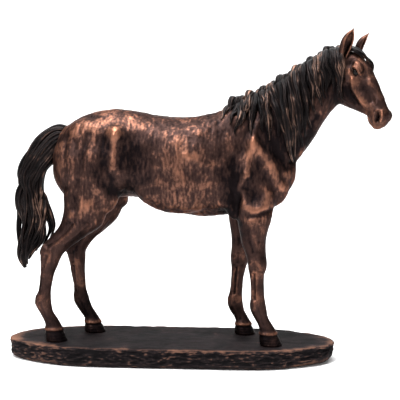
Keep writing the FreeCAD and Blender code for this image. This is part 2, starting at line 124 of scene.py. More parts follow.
def clay_lump(x, y, z, long, wide, deep, tilt=0, yaw=0):
    """An ellipsoid of clay. long lies along the tilt, wide across the horse and deep the third way."""
    bpy.ops.mesh.primitive_uv_sphere_add(segments=28, ring_count=18, radius=1)
    lump = bpy.context.object
    forward, up, right = axes_at(tilt, yaw)
    turn = Matrix((forward, right, up)).transposed().to_4x4()
    lump.data.transform(
        Matrix.Translation((x, y, z)) @ turn @ Matrix.Diagonal((long, wide, deep, 1))
    )
    lump.select_set(False)
    return lump


# Trunk, from the buttocks forward to the breast.
clay = [clay_roll("trunk", [
    (-91, 0, 137, 0, 12, 12, 10), (-86, 0, 139, 0, 23, 22, 18, 0.1),
    (-78, 0, 140, 0, 29.4, 31, 23.5, 0.15), (-65, 0, 142, 0, 34, 36, 26.5, 0.15),
    (-50, 0, 143, 0, 37, 35, 28, 0.15), (-40, 0, 143, 0, 37.8, 31.6, 28, 0.15),
    (-25, 0, 143, 0, 35.4, 31.6, 27), (-10, 0, 141, 0, 34.6, 34.8, 28.5, -0.05),
    (5, 0, 140, 0, 34, 39.8, 29.5, -0.05), (20, 0, 140, 0, 35, 42.4, 29),
    (32, 0, 140, 0, 37.2, 42.6, 27.5, 0.1), (45, 0, 140, 0, 41.6, 41, 25, 0.25),
    (58, 0, 140, 0, 43, 41.5, 22.5, 0.3), (70, 0, 139, 0, 39, 38, 21, 0.25),
    (82, 0, 136, 0, 30, 27, 19, 0.1), (92, 0, 134, 0, 16, 16, 14), (97, 0, 133, 0, 7, 7, 7),
])]
# Neck, turning to the right as it rises.
clay.append(clay_roll("neck_roll", [
    (50, 0, 136, 51, 26, 30, 17, 0.1), (60, 0, 147, 51, 30, 32, 18, 0.15),
    (70, 0, 158, 51, 32, 32.5, 17.5, 0.2), (82, 0, 167.5, 45, 28.5, 29, 15.5, 0.25),
    (92.6, -0.5, 175.7, 39, 25.5, 25.5, 13.6, 0.3, -3),
    (103, -1.5, 185.5, 36, 23, 21.6, 12.4, 0.3, -6),
    (112, -2.5, 194.5, 32, 21.4, 19.4, 11.4, 0.25, -10),
    (121, -3.8, 201.5, 22, 20.6, 18, 10.8, 0.2, -15),
    (129, -4.8, 206, 6, 19.6, 16.5, 10.4, 0.15, -20),
    (133.5, -6.2, 208.5, -12, 17, 14, 9.6, 0.1, -25),
]))
# The head is set out along its own axes: how far down the face from the poll, then the reach to
# the profile and to the jaw, the half width and the egg.
POLL = Vector((137, -5.6, 227.2))
HEAD_TILT, HEAD_YAW = -60, -33
DOWN_FACE, OFF_FACE, TO_RIGHT = axes_at(HEAD_TILT, HEAD_YAW)


def on_head(down, off, right=0.0):
    """A point of the head, from its own distances in millimetres."""
    return POLL + DOWN_FACE * down + OFF_FACE * off + TO_RIGHT * right


FACE = [
    (-2, -4, -26, 7, 0), (5, 1.5, -30, 9.6, 0.05), (12, 5.5, -33, 11.2, 0.1),
    (20, 8, -33.5, 11.6, 0.15), (28, 8, -31, 11, 0.2), (36, 7.6, -24.5, 9.4, 0.25),
    (43, 7.2, -18, 7.5, 0.2), (49, 6.8, -13.6, 6.6, 0.1), (54.5, 6.4, -11.6, 7, 0),
    (59, 4.8, -11.2, 7.3, -0.05), (62.5, 1.8, -10.8, 6.2, -0.05), (64.8, -1.6, -8.6, 4, 0),
]
head_stations = []
for down, profile, jaw, wide, egg in FACE:
    middle, half = on_head(down, (profile + jaw) / 2), (profile - jaw) / 2
    head_stations.append((*middle, HEAD_TILT, half, half, wide, egg, HEAD_YAW))
clay.append(clay_roll("head_roll", head_stations))
# Legs, each standing its own way, from inside the trunk to just below the hoof's sole.
LEGS = {
    "right_fore": [
        (62, -8, 140, -90, 17, 17, 8), (65, -13, 120, -90, 17, 16, 11),
        (65.5, -16, 106, -90, 15, 15, 11), (65.6, -17, 97, -90, 13.2, 13, 10.2),
        (65.1, -17.2, 88, -90, 11.2, 11, 9), (65.3, -17.4, 79, -90, 9.4, 9.2, 7.7),
        (66.7, -17.6, 71, -90, 8, 7.6, 6.7), (67.7, -17.8, 65, -90, 8, 7.2, 6.7, -0.1),
        (68, -18, 60, -90, 7.2, 7, 6.1, -0.1), (68.2, -18, 55, -90, 5.6, 6.2, 4.9),
        (68.9, -18, 46, -90, 4.9, 5.6, 4.1), (69.1, -18, 38, -90, 4.9, 5.7, 4.2),
        (69.2, -18, 32.5, -90, 5.7, 6.8, 5.2), (69.8, -18, 27.5, -78, 5.9, 6.7, 5.2),
        (72.3, -18, 20.5, -62, 4.9, 5.1, 4.4), (74.5, -18, 14.5, -60, 5.7, 5, 5),
        (75.9, -18, 10, -75, 7, 6.6, 6.4), (77.3, -18, 5.5, -84, 8, 7.3, 7.2),
        (78.9, -18, -0.6, -90, 9.3, 8.4, 8.1),
    ],
    "left_fore": [
        (60, 8, 140, -90, 17, 17, 8), (58, 13, 120, -90, 16, 16, 11),
        (56.5, 16, 106, -90, 14.2, 14.5, 10.8), (56, 17, 97, -90, 12.5, 12.5, 10),
        (56.1, 17.2, 86, -90, 10.6, 10.6, 8.8), (55.6, 17.4, 77, -90, 9.3, 9.3, 7.7),
        (53.8, 17.6, 69.5, -90, 8, 7.7, 6.8), (52.9, 17.8, 64, -90, 8, 7.2, 6.7, -0.1),
        (52.7, 18, 58.5, -90, 7, 6.8, 6, -0.1), (52.4, 18, 53, -90, 5.6, 6, 4.9),
        (51.2, 18, 43, -90, 4.9, 5.5, 4.1), (50.4, 18, 34, -90, 4.9, 5.6, 4.3),
        (49.8, 18, 28, -90, 5.7, 6.6, 5.2), (50.3, 18, 23.5, -78, 5.8, 6.5, 5.2),
        (52.6, 18, 17, -60, 4.8, 5, 4.4), (54.2, 18, 12.5, -62, 5.6, 5, 5),
        (55.2, 18, 8.5, -76, 6.9, 6.5, 6.3), (56, 18, 4.5, -85, 7.8, 7.1, 7),
        (57.4, 18, -0.6, -90, 8.9, 8.1, 7.9),
    ],
    "right_hind": [
        (-60, -10, 142, -90, 21, 21, 10), (-61, -13.5, 124, -90, 22, 20, 12.5),
        (-64, -15, 109, -100, 19, 17.4, 12), (-66.8, -15.5, 98, -112, 16.3, 15.8, 10.8),
        (-73, -15.8, 89.8, -120, 11.8, 11.5, 9), (-78.9, -16, 83.8, -128, 9.5, 9, 7.5),
        (-85, -16, 77.5, -126, 8.5, 8.4, 6.6), (-90.1, -16, 71.5, -110, 8.4, 9.2, 6.5),
        (-92.1, -16, 66, -100, 7.8, 8.2, 6.2), (-93.4, -16, 60, -97, 6.7, 6.7, 5.4),
        (-94.6, -16, 54, -96, 5.5, 5.7, 4.6), (-96, -16, 46, -95, 5, 5.3, 4.2),
        (-97, -16, 39, -94, 5, 5.6, 4.3), (-98, -16, 33.5, -90, 5.9, 6.9, 5.3),
        (-97.7, -16, 29, -80, 6, 6.8, 5.3), (-95.2, -16, 21.5, -63, 5, 5.2, 4.5),
        (-92.8, -16, 15.5, -60, 5.8, 5.2, 5.1), (-91.2, -16, 10.5, -76, 7.1, 6.8, 6.4),
        (-90, -16, 5.5, -85, 8.1, 7.4, 7.1), (-88.4, -16, -0.6, -90, 9.3, 8.5, 8.1),
    ],
    "left_hind": [
        (-58, 10, 142, -90, 21, 21, 10), (-56.6, 13.5, 124, -90, 19.7, 21, 12.5),
        (-55.6, 15, 109, -100, 17, 18.3, 12), (-57.4, 15.5, 98, -110, 14.5, 15.6, 10.8),
        (-63.1, 15.8, 88, -118, 10.6, 11.6, 9), (-69.7, 16, 80.5, -126, 8.3, 9.2, 7.5),
        (-74.1533, 16, 73, -122, 7.4, 8.6, 6.7), (-77.0133, 16, 67, -104, 7.5, 9, 6.5),
        (-77.1, 16, 61, -94, 7.3, 7.5, 6.1), (-76.7, 16, 55, -90, 6.2, 6.3, 5.2),
        (-75.9, 16, 48, -88, 5.3, 5.6, 4.5), (-75, 16, 40, -87, 4.9, 5.3, 4.2),
        (-74.5, 16, 34, -87, 5, 5.5, 4.4), (-73.6, 16, 28, -84, 5.9, 6.7, 5.3),
        (-72.8, 16, 24, -74, 5.8, 6.5, 5.3), (-69.2, 16, 17, -54, 4.9, 5, 4.5),
        (-67, 16, 12.5, -55, 5.7, 5.1, 5), (-65.6, 16, 8.5, -74, 6.9, 6.6, 6.3),
        (-64.6, 16, 4.5, -84, 7.9, 7.3, 7), (-63.1, 16, -0.6, -90, 9.1, 8.3, 7.9),
    ],
}
clay += [clay_roll(name, stations) for name, stations in LEGS.items()]
# Lumps for the muscles and the bones that stand out.
for side in (-1, 1):
    fore_x = 0 if side < 0 else -7
    hind_x = 0 if side < 0 else 7
    clay += [
        clay_lump(-52, side * 10, 156, 30, 14, 18, -8),          # rump
        clay_lump(-41, side * 19, 159, 10, 7, 9, 60),             # point of the hip
        clay_lump(-66.5, side * 13, 134, 29, 12.5, 15, 82),        # back of the thigh
        clay_lump(-55, side * 15, 127, 27, 12, 15, 110),         # front of the thigh
        clay_lump(-50 + hind_x, side * 17, 110, 10, 7.5, 8, 100),  # stifle
        clay_lump(64, side * 12, 150, 30, 9, 12, 118),           # shoulder blade
        clay_lump(66 + fore_x / 2, side * 15, 120, 17, 9.5, 14, 100),  # triceps
        clay_lump(81.5, side * 9, 123, 17, 9.5, 10.5, 80),           # breast
        clay_lump(86, side * 10, 132, 9, 7.5, 8, 60),            # point of the shoulder
        clay_lump(51 + fore_x, side * 16, 105, 8, 5.5, 6, 70),   # elbow
        clay_lump(10, side * 13, 128, 40, 16, 27, 3),            # ribs
    ]
    cheek = on_head(21, -20, -side * 5.5)
    brow = on_head(17.5, 2.6, -side * 8)
    nostril = on_head(57, -0.6, -side * 4.6)
    clay += [
        clay_lump(*cheek, 14, 6.8, 12.5, HEAD_TILT, HEAD_YAW),
        clay_lump(*brow, 5.5, 3.6, 4.2, HEAD_TILT, HEAD_YAW),
        clay_lump(*nostril, 5, 3.6, 4.6, HEAD_TILT, HEAD_YAW),
    ]
clay.append(clay_lump(*on_head(56.5, -10), 4.2, 4.4, 2.8, HEAD_TILT, HEAD_YAW))  # chin
clay.append(clay_lump(118, -3, 192, 13, 9, 10, 40, -12))                          # throat


def join(parts, name):
    bpy.ops.object.select_all(action="DESELECT")
    for part in parts:
        part.select_set(True)
    bpy.context.view_layer.objects.active = parts[0]
    bpy.ops.object.join()
    parts[0].name = name
    parts[0].select_set(False)
    return parts[0]


def apply_modifier(body, kind, **settings):
    modifier = body.modifiers.new(kind.lower(), kind)
    for key, value in settings.items():
        setattr(modifier, key, value)
    bpy.ops.object.select_all(action="DESELECT")
    body.select_set(True)
    bpy.context.view_layer.objects.active = body
    bpy.ops.object.modifier_apply(modifier=modifier.name)
    body.select_set(False)


horse = join(clay, "clay_horse")
apply_modifier(horse, "REMESH", mode="VOXEL", voxel_size=CLAY_GRAIN)
apply_modifier(horse, "SMOOTH", factor=0.6, iterations=9)


class Clay:
    """A mesh opened for sculpting: its points and normals as arrays, put back by close()."""

    def __init__(self, body, origin=(0, 0, 0), along=(1, 0, 0), across=(0, 0, 1), outward=(0, 1, 0)):
        self.mesh = body.data
        self.origin = np.array(origin)
        self.flat = np.array((along, across)).T
        self.outward = np.array(outward)
        self.count = len(self.mesh.vertices)
        self.points = np.empty(self.count * 3)
        self.mesh.vertices.foreach_get("co", self.points)
        self.points = self.points.reshape(-1, 3)
        edges = np.empty(len(self.mesh.edges) * 2, int)
        self.mesh.edges.foreach_get("vertices", edges)
        self.edges = edges.reshape(-1, 2)
        self.links = np.bincount(self.edges.ravel(), minlength=self.count).clip(1)
        self.paint = np.zeros(self.count, np.float32)
        painted = self.mesh.attributes.get("rub_and_painted_light")
        if painted is not None:
            painted.data.foreach_get("value", self.paint)
        self.refresh()

    def refresh(self):
        self.mesh.vertices.foreach_set("co", self.points.ravel())
        self.mesh.update()
        normals = np.empty(self.count * 3)
        self.mesh.vertices.foreach_get("normal", normals)
        self.normals = normals.reshape(-1, 3)

    def near(self, path, flat):
        """Distance of every point from a path. A flat path has two numbers, seen from the side."""
        path = np.array(path, float)
        spot = (self.points - self.origin) @ self.flat if flat else self.points
        best = np.full(self.count, 1e9)
        if len(path) == 1:
            return np.linalg.norm(spot - path[0], axis=1)
        for a, b in zip(path[:-1], path[1:]):
            along = b - a
            t = np.clip((spot - a) @ along / (along @ along), 0, 1)
            best = np.minimum(best, np.linalg.norm(spot - a - t[:, None] * along, axis=1))
        return best

    def facing(self, side):
        """How far each point looks towards one flank, -1 for the right and 1 for the left."""
        return (side * (self.normals @ self.outward) * 1.8).clip(0, 1)

    def stroke(self, path, width, height, side=None):
        """Raises (or with a negative height presses in) the clay along a path."""
        flat = side is not None
        weight = np.exp(-(self.near(path, flat) / width) ** 2)
        if flat:
            weight *= self.facing(side)
        self.points += self.normals * (weight * height)[:, None]

    def stroke_flanks(self, strokes, relief):
        """Strokes seen from the side, made alike on both flanks."""
        for path, width, height in strokes:
            for side in (-1, 1):
                self.stroke(path, width, relief * height, side)

    def tint_flanks(self, tints):
        """Rubs copper on (or with a negative amount, dark wash) along paths on both flanks; the same
        strokes also lay painted highlights and painted sheen where a list gives them.
        """
        for path, width, amount in tints:
            for side in (-1, 1):
                weight = np.exp(-(self.near(path, True) / width) ** 2)
                self.paint += amount * weight * self.facing(side)

    def averaged(self, values, times):
        a, b = self.edges.T
        for _ in range(times):
            total = np.zeros_like(values)
            for k in range(values.shape[1]):
                total[:, k] = np.bincount(a, values[b, k], self.count)
                total[:, k] += np.bincount(b, values[a, k], self.count)
            values = 0.5 * values + 0.5 * total / self.links[:, None]
        return values

    def soften(self, times, share=None):
        softer = self.averaged(self.points, times)
        self.points = softer if share is None else self.points + (softer - self.points) * share[:, None]
        self.refresh()

    def close(self, reach, fresh=1.0):
        """Stores where handling would wear the patina off: the proud forms, fine and broad.

        fresh is 1 where this is worked out anew, and 0 near a saw cut, where the old value stays.
        """
        self.refresh()
        fine = self.averaged(self.points, reach)
        broad = self.averaged(fine, reach * 5)
        proud = ((self.points - fine) * self.normals).sum(axis=1)
        swell = ((fine - broad) * self.normals).sum(axis=1)
        wear = 0.5 * proud / (proud.std() * 2.5 + 1e-9) + 0.5 * swell / (swell.std() * 2.5 + 1e-9)
        before = np.zeros(self.count, np.float32)
        stored = self.mesh.attributes.get("wear")
        if stored is not None:
            stored.data.foreach_get("value", before)
        wear = (wear - 0.8 * wear.mean()).clip(-1, 1) * fresh + before * (1 - fresh)
        # the tint stored here holds the copper rubs and the dark wash, and also painted sheen, painted
        # highlights and painted shade
        for name, values in (("wear", wear), ("rub_and_painted_light", self.paint.clip(-1.2, 1.2))):
            layer = self.mesh.attributes.get(name)
            if layer is None:
                layer = self.mesh.attributes.new(name, "FLOAT", "POINT")
            layer.data.foreach_set("value", values.astype(np.float32))


body = Clay(horse)
trunk_share = ((body.points[:, 2] - 92) / 16).clip(0, 1) * ((122 - body.points[:, 0]) / 14).clip(0, 1)
blended = body.averaged(body.points, 26)
body.points += (blended - body.points) * trunk_share[:, None]
body.refresh()
# Grooves and ridges of the flanks, as x and z. Height is in millimetres, negative pressed in.
FLANK_STROKES = [
    ([(49.5, 145), (51.5, 130), (52, 118), (50.5, 104)], 4.2, -1.79),     # behind the elbow
    ([(44, 135), (46, 118)], 7.5, -1.07),
    ([(67, 170), (63, 152), (59.5, 133)], 3.2, 1.2),                       # spine of the blade
    ([(57, 160), (54, 145)], 5, -0.72),
    ([(64.7, 158), (72, 148), (79, 137), (86, 123)], 3.8, 1.31),            # front of the shoulder
    ([(74, 166), (82, 150), (90, 138)], 3.2, -1.07),
    ([(68, 140), (72, 130)], 5.6, -1.07),
    ([(59.6, 133), (53.5, 123)], 3, 0.85),
    ([(64, 121), (65, 115)], 6.9, -1.44),
    ([(57, 118), (59, 109), (66, 105.5), (73, 108), (76, 118)], 3, 1.07),
    ([(62, 101.5), (70, 102.5), (79, 106)], 2, -0.85),
    ([(-47.7, 139), (-42, 127), (-43, 114), (-46, 106)], 4, -1.44),       # fold of the flank
    ([(-38, 165)], 10, 1.05),                                                # point of the hip
    ([(-39.5, 165), (-40, 155), (-40.6, 146), (-41, 138)], 3.8, 1.31),
    ([(-30, 152), (-22, 147)], 11.2, -1.79),                                   # hollow of the flank
    ([(-49, 158), (-49, 143)], 5.6, -0.95),
    ([(-60, 162), (-66, 142), (-70, 122), (-71, 106)], 3.5, -0.95),         # thigh muscles
    ([(-78, 160), (-80, 142), (-79, 122)], 3.2, -0.72),
    ([(-64, 118), (-55, 113)], 5, -0.72),
    ([(-57, 128), (-52, 120)], 5, 0.85),
    ([(15, 148), (24, 143.5), (33, 139)], 3.8, 0.85),
    ([(46, 103.5), (20, 101), (0, 104.5), (-20, 111), (-34, 117)], 3.2, -0.6),
    ([(40, 110), (48, 108), (52, 100)], 2.5, 0.6),
    ([(104.8, 166), (99.3, 147)], 3, 1.07),                               # strap of the neck
    ([(112, 176), (103, 158), (95, 142)], 2.8, -1.07),
    ([(98, 166), (93, 150)], 3.8, -0.85),
    ([(118, 184), (111, 172)], 3.8, 0.6),
]
body.stroke_flanks(FLANK_STROKES, 1.35)
for k in range(8):
    rib = 38 - 6.5 * k
    body.stroke_flanks([([(rib + 3, 156), (rib, 140), (rib + 1, 124)], 2.2, 0.1)], 1)
body.stroke([(-70, 0, 178), (-35, 0, 184)], 4, -0.5)        # furrow along the croup
body.stroke([(100, 0, 140), (92, 0, 112), (80, 0, 98)], 3.5, -1.4)  # between the breast muscles
body.soften(2)
# Tool marks: the whole skin is worked over with the modelling tool, mostly down the limbs.
marks = np.array([
    bpy_noise.noise(Vector((p[0] / 3.6, p[1] / 4.5, p[2] / 9.0))) * 0.3
    + bpy_noise.noise(Vector((p[0] / 1.7 + 9, p[1] / 2.0, p[2] / 3.6))) * 0.2
    + bpy_noise.noise(Vector((p[0] / 11 + 5, p[1] / 11, p[2] / 11))) * 0.7
    for p in body.points
])
limb = ((100 - body.points[:, 2]) / 30).clip(0, 1)
body.points += body.normals * (marks * (1 - 0.55 * limb))[:, None]
body.refresh()

# Where the dry brush has left copper, and where the dark wash has been left, on both flanks. Some
# strokes are painted highlights instead: a painted sheen along the top of the back and croup, and thin
# painted highlights down the middle of the cannons.
RUBBED_AND_PAINTED_HIGHLIGHTS = [
    ([(-45, 167), (-36, 166)], 11.8, 0.58), ([(-39.5, 162), (-41, 142)], 4.6, 0.7),
    # painted sheen: the croup stroke at the end of this line and the back stroke on the next line
    # lighten the top where the light falls on it
    ([(-76, 160), (-76, 140)], 6.8, 0.29), ([(-66, 168), (-52, 170)], 8.5, 0.23),
    ([(-25, 168), (35, 168)], 10.1, 0.23), ([(14, 148), (34, 139)], 6.8, 0.4),
    ([(8, 132), (14, 122), (24, 128)], 10.1, 0.35), ([(6, 106), (22, 104)], 8.5, 0.4),
    ([(-10, 116), (2, 112)], 10.1, 0.2), ([(68, 168), (66, 158)], 6.8, 0.4),
    ([(64.7, 158), (79, 137), (86, 123)], 5.1, 0.46), ([(60, 150), (57, 132)], 5.1, 0.29),
    ([(57, 118), (62, 107), (72, 108)], 6.8, 0.58), ([(74, 122), (75, 108)], 5.1, 0.35),
    ([(92, 145), (95, 128)], 6.8, 0.35), ([(104, 166), (99, 146)], 3.8, 0.58),
    ([(122, 184), (112, 166)], 5.1, 0.29), ([(-54, 112), (-48, 106)], 10.1, 0.29),
    ([(-66, 104), (-78, 92), (-84, 84)], 6.8, 0.35), ([(-94, 72), (-91, 68)], 6.8, 0.58),
    # painted highlight: the first stroke on this line runs down the middle of the right hind cannon
    ([(-96, 62), (-99, 36)], 3.4, 0.4), ([(70, 92), (71, 78)], 4, 0.4),
    ([(70, 66), (69, 58)], 6.8, 0.35), ([(68, 34)], 8.5, 0.46), ([(50, 28)], 8.5, 0.46),
    ([(-100, 31)], 8.5, 0.4), ([(-72, 26)], 8.5, 0.23), ([(54, 66)], 8.5, 0.35),
    ([(50, 138), (49, 118)], 11.8, -0.58), ([(-48, 158), (-49, 142)], 5.9, -0.51),
    ([(-32, 150), (-20, 146)], 13.5, -0.45), ([(-62, 132), (-52, 128)], 15.2, -0.26),
    ([(65, 122), (66, 114)], 6.8, -0.45), ([(-20, 128), (0, 122)], 15.2, -0.16),
    ([(112, 178), (96, 150)], 6.8, -0.32), ([(88, 170), (80, 150)], 8.5, -0.26),
    ([(-80, 130), (-80, 112)], 8.5, -0.19), ([(70, 132), (76, 122)], 6.8, -0.26),
    ([(60, 178), (72, 166), (88, 150), (96, 146)], 11.7, -0.72),
    ([(76, 190), (92, 170), (104, 164)], 11.7, -0.8),
    ([(100, 206), (118, 196), (126, 192)], 11.7, -0.8),
    ([(124, 192), (116, 176), (104, 156)], 3.9, -0.4), ([(50, 128), (49, 104)], 5.9, -0.72),
    # painted highlight: the thin strokes down the middle of the cannons, at the end of this line and on
    # the next, lighten the round of the leg where the light falls on it
    ([(-30, 160), (-22, 140), (-34, 122)], 9.1, -0.44), ([(66, 56), (67, 38)], 2.9, 0.43),
    ([(51, 54), (50, 36)], 2.6, 0.32), ([(-75, 58), (-73, 38)], 2.6, 0.29),
    ([(-72, 96), (-92, 78)], 2.9, -0.48), ([(-60, 110), (-70, 92), (-86, 78)], 3.9, 0.5),
    ([(62, 98), (66, 78)], 2.9, 0.36), ([(84, 118), (90, 130)], 3.9, 0.29),
    ([(-84, 150), (-85, 120)], 5.2, 0.25), ([(-58, 152), (-64, 132)], 6.5, 0.25),
    ([(-20, 152), (0, 146)], 10.4, 0.14), ([(-6, 134), (10, 116)], 9.1, 0.22),
]
body.tint_flanks(RUBBED_AND_PAINTED_HIGHLIGHTS)
# Painted shade: the tint is darkened down the legs and under the belly, more towards the bottom.
heights = body.points[:, 2]
body.paint -= 0.3 * ((108 - heights) / 24).clip(0, 1) + 0.12 * ((126 - heights) / 16).clip(0, 1)


# The body is sawn into its castings. The saw follows the joint planes of the frame's own castings.
def clay_copy(source, name):
    piece = source.copy()
    piece.data = source.data.copy()
    piece.name = name
    piece.data.name = name
    bpy.context.collection.objects.link(piece)
    return piece


def sawn(piece, point, normal, seed, name):
    """Saws off the part beyond a plane that holds the seed point, and returns it as a new piece."""
    point, normal, seed = Vector(point), Vector(normal).normalized(), Vector(seed)
    mesh = bmesh.new()
    mesh.from_mesh(piece.data)
    bmesh.ops.bisect_plane(
        mesh, geom=mesh.verts[:] + mesh.edges[:] + mesh.faces[:], dist=1e-5,
        plane_co=point, plane_no=normal,
    )
    beyond = {f for f in mesh.faces if (f.calc_center_median() - point).dot(normal) > 0}
    start = min(beyond, key=lambda f: (f.calc_center_median() - seed).length_squared)
    found, queue = {start}, [start]
    while queue:
        for edge in queue.pop().edges:
            for face in edge.link_faces:
                if face in beyond and face not in found:
                    found.add(face)
                    queue.append(face)
    part = clay_copy(piece, name)
    for face in mesh.faces:
        face.tag = face in found
    for target, drop in ((part, False), (piece, True)):
        half = mesh.copy() if drop is False else mesh
        if drop is False:
            half.faces.ensure_lookup_table()
            for face, original in zip(half.faces, mesh.faces):
                face.tag = original.tag
        bmesh.ops.delete(half, geom=[f for f in half.faces if f.tag == drop], context="FACES")
        rim = [e for e in half.edges if len(e.link_faces) == 1]
        cap = bmesh.ops.holes_fill(half, edges=rim, sides=0)["faces"]
        bmesh.ops.triangulate(half, faces=cap)
        half.to_mesh(target.data)
        half.free()
    return part


NECK_AT, NECK_OUT = (70, 0, 158), axes_at(51, 0)[0]
HEAD_AT, HEAD_OUT = (130, -4, 206), axes_at(10, -20)[0]
LEG_SAWS = {
    "right_fore_leg": ((66, -17, 97), (0, 0, -1), (78, -18, 1)),
    "left_fore_leg": ((56, 17, 97), (0, 0, -1), (57, 18, 1)),
    "right_hind_leg": ((-66, -15, 95), (0, 0, -1), (-91, -16, 1)),
    "left_hind_leg": ((-56, 15, 95), (0, 0, -1), (-61, 16, 1)),
}
MUZZLE = on_head(60, 0)


def set_down(piece):
    """Takes a finished piece from sculpting millimetres to the frame, and smooths its shading."""
    shell = bmesh.new()
    shell.from_mesh(piece.data)
    bmesh.ops.recalc_face_normals(shell, faces=shell.faces)
    shell.to_mesh(piece.data)
    shell.free()
    piece.data.transform(Matrix.Translation((0, 0, GROUND)) @ Matrix.Scale(0.001, 4))
    bpy.ops.object.select_all(action="DESELECT")
    piece.select_set(True)
    bpy.context.view_layer.objects.active = piece
    bpy.ops.object.shade_smooth_by_angle(angle=math.radians(48))
    piece.select_set(False)
    return piece


def finish_piece(piece, node, material):
    set_down(piece)
    piece.data.materials.clear()
    piece.data.materials.append(material)
    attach(piece, "root")
    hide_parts(node)


# ------------------------------------------------------------------------------------------
# Bronze coat. Cold-cast bronze: bronze powder in resin, stained dark and then dry-brushed with
# copper on the proud forms. The brush marks run down the flanks.
def graph(name):
    """A new material with its node tree and shader, and short ways of adding and joining nodes."""
    material = bpy.data.materials.new(name)
    material.use_nodes = True
    tree = material.node_tree
    shader = tree.nodes["Principled BSDF"]

    def add(kind, inputs=None, **settings):
        node = tree.nodes.new(kind)
        for key, value in settings.items():
            setattr(node, key, value)
        for key, value in (inputs or {}).items():
            if isinstance(value, bpy.types.NodeSocket):
                tree.links.new(value, node.inputs[key])
            else:
                node.inputs[key].default_value = value
        return node

    def join_to(socket, key):
        tree.links.new(socket, shader.inputs[key])

    return material, shader, add, join_to


def texture_noise(add, stretch, scale, detail=5.0, rough=0.55, twist=0.0):
    """Noise on the object's own coordinates, stretched by a scale for each axis."""
    coords = add("ShaderNodeTexCoord")
    placed = add("ShaderNodeMapping", {"Vector": coords.outputs["Object"], "Scale": stretch})
    noise = add("ShaderNodeTexNoise", {"Vector": placed.outputs["Vector"], "Scale": scale,
                                       "Detail": detail, "Roughness": rough,
                                       "Distortion": twist})
    return noise.outputs["Fac"]


def stretch_range(add, value, low, high, out_low=0.0, out_high=1.0):
    node = add("ShaderNodeMapRange", {"Value": value, "From Min": low, "From Max": high,
                                      "To Min": out_low, "To Max": out_high})
    return node.outputs["Result"]


def sums(add, kind, a, b):
    return add("ShaderNodeMath", {0: a, 1: b}, operation=kind).outputs["Value"]


def bumped(add, join_to, height, strength, depth):
    bump = add("ShaderNodeBump", {"Height": height, "Strength": strength, "Distance": depth})
    join_to(bump.outputs["Normal"], "Normal")


def total(add, first, *rest):
    """Sum of values, where a pair stands for a value and its share."""
    result = None
    for part in (first, *rest):
        value = sums(add, "MULTIPLY", *part) if isinstance(part, tuple) else part
        result = value if result is None else sums(add, "ADD", result, value)
    return result


def blend_colours(add, amount, a, b):
    node = add("ShaderNodeMix", {"Factor": amount, 6: a, 7: b}, data_type="RGBA")
    return node.outputs[2]


def patinated(name, stain, body_tone, copper, brushed, shine, metal=0.72, gloss=0.2,
              streak=(1, 1, 0.22)):
    """Stained bronze powder, rubbed to copper where the wear and the rubbed tint are high. The rubbed
    tint also holds painted sheen, painted highlights and painted shade.
    """
    material, shader, add, join_to = graph(name)
    wear = add("ShaderNodeAttribute", attribute_name="wear").outputs["Fac"]
    rub_and_painted_light = add("ShaderNodeAttribute", attribute_name="rub_and_painted_light").outputs["Fac"]
    clouds = texture_noise(add, (1, 1, 1), 48, 6, 0.62, 0.8)
    strokes = texture_noise(add, streak, 980, 9, 0.78, 1.2)
    fine = texture_noise(add, (1, 1, 1), 2400, 4, 0.6)
    dabs = texture_noise(add, (0.7, 1, 0.8), 460, 9, 0.8, 1.8)
    # The wash gathers in the hollows; the dry brush catches the proud forms in broken dabs.
    tone = total(
        add, stretch_range(add, clouds, 0.32, 0.68, -0.5, 0.5),
        stretch_range(add, strokes, 0.25, 0.75, -0.32, 0.32),
        stretch_range(add, dabs, 0.3, 0.7, -0.16, 0.16), (wear, 0.58), (rub_and_painted_light, 0.72),
    )
    ground_tone = blend_colours(add, stretch_range(add, tone, -0.7, 0.75), (*stain, 1), (*body_tone, 1))
    worn = sums(add, "MULTIPLY", stretch_range(add, tone, 0.1, 1.7), brushed)
    colour = blend_colours(add, worn, ground_tone, (*copper, 1))
    join_to(colour, "Base Color")
    polish = total(add, worn, (strokes, 0.6))
    join_to(stretch_range(add, polish, 0.1, 1.2, shine + 0.12, shine - 0.06), "Roughness")
    bumped(add, join_to, total(add, (strokes, 0.7), (fine, 0.3)), 0.4, 0.0004)
    shader.inputs["Metallic"].default_value = metal
    shader.inputs["Specular IOR Level"].default_value = gloss
    shader.inputs["Specular Tint"].default_value = (0.4, 0.33, 0.3, 1)
    return material


coat = patinated("coat_patina", (0.0045, 0.003, 0.0035), (0.06, 0.031, 0.025), (0.44, 0.185, 0.108),
                 0.85, 0.36)

# ------------------------------------------------------------------------------------------
# Torso. Barrel, shoulders and thighs stay in one casting when the rest has been sawn off. The
# wear is worked out on the whole body first, so that it runs on across the joints.
body.close(3)
body_faces = [tuple(p.vertices) for p in horse.data.polygons]
leg_castings = {name: sawn(horse, *saw, name + "_casting") for name, saw in LEG_SAWS.items()}
neck = sawn(horse, NECK_AT, NECK_OUT, MUZZLE, "neck_casting")
head = sawn(neck, HEAD_AT, HEAD_OUT, MUZZLE, "head_casting")
torso = horse
torso.name = "torso_casting"
finish_piece(torso, "torso", coat)

# ------------------------------------------------------------------------------------------
# Neck. A casting between the two joints; most of its right side ends up under the mane.
finish_piece(neck, "neck", coat)

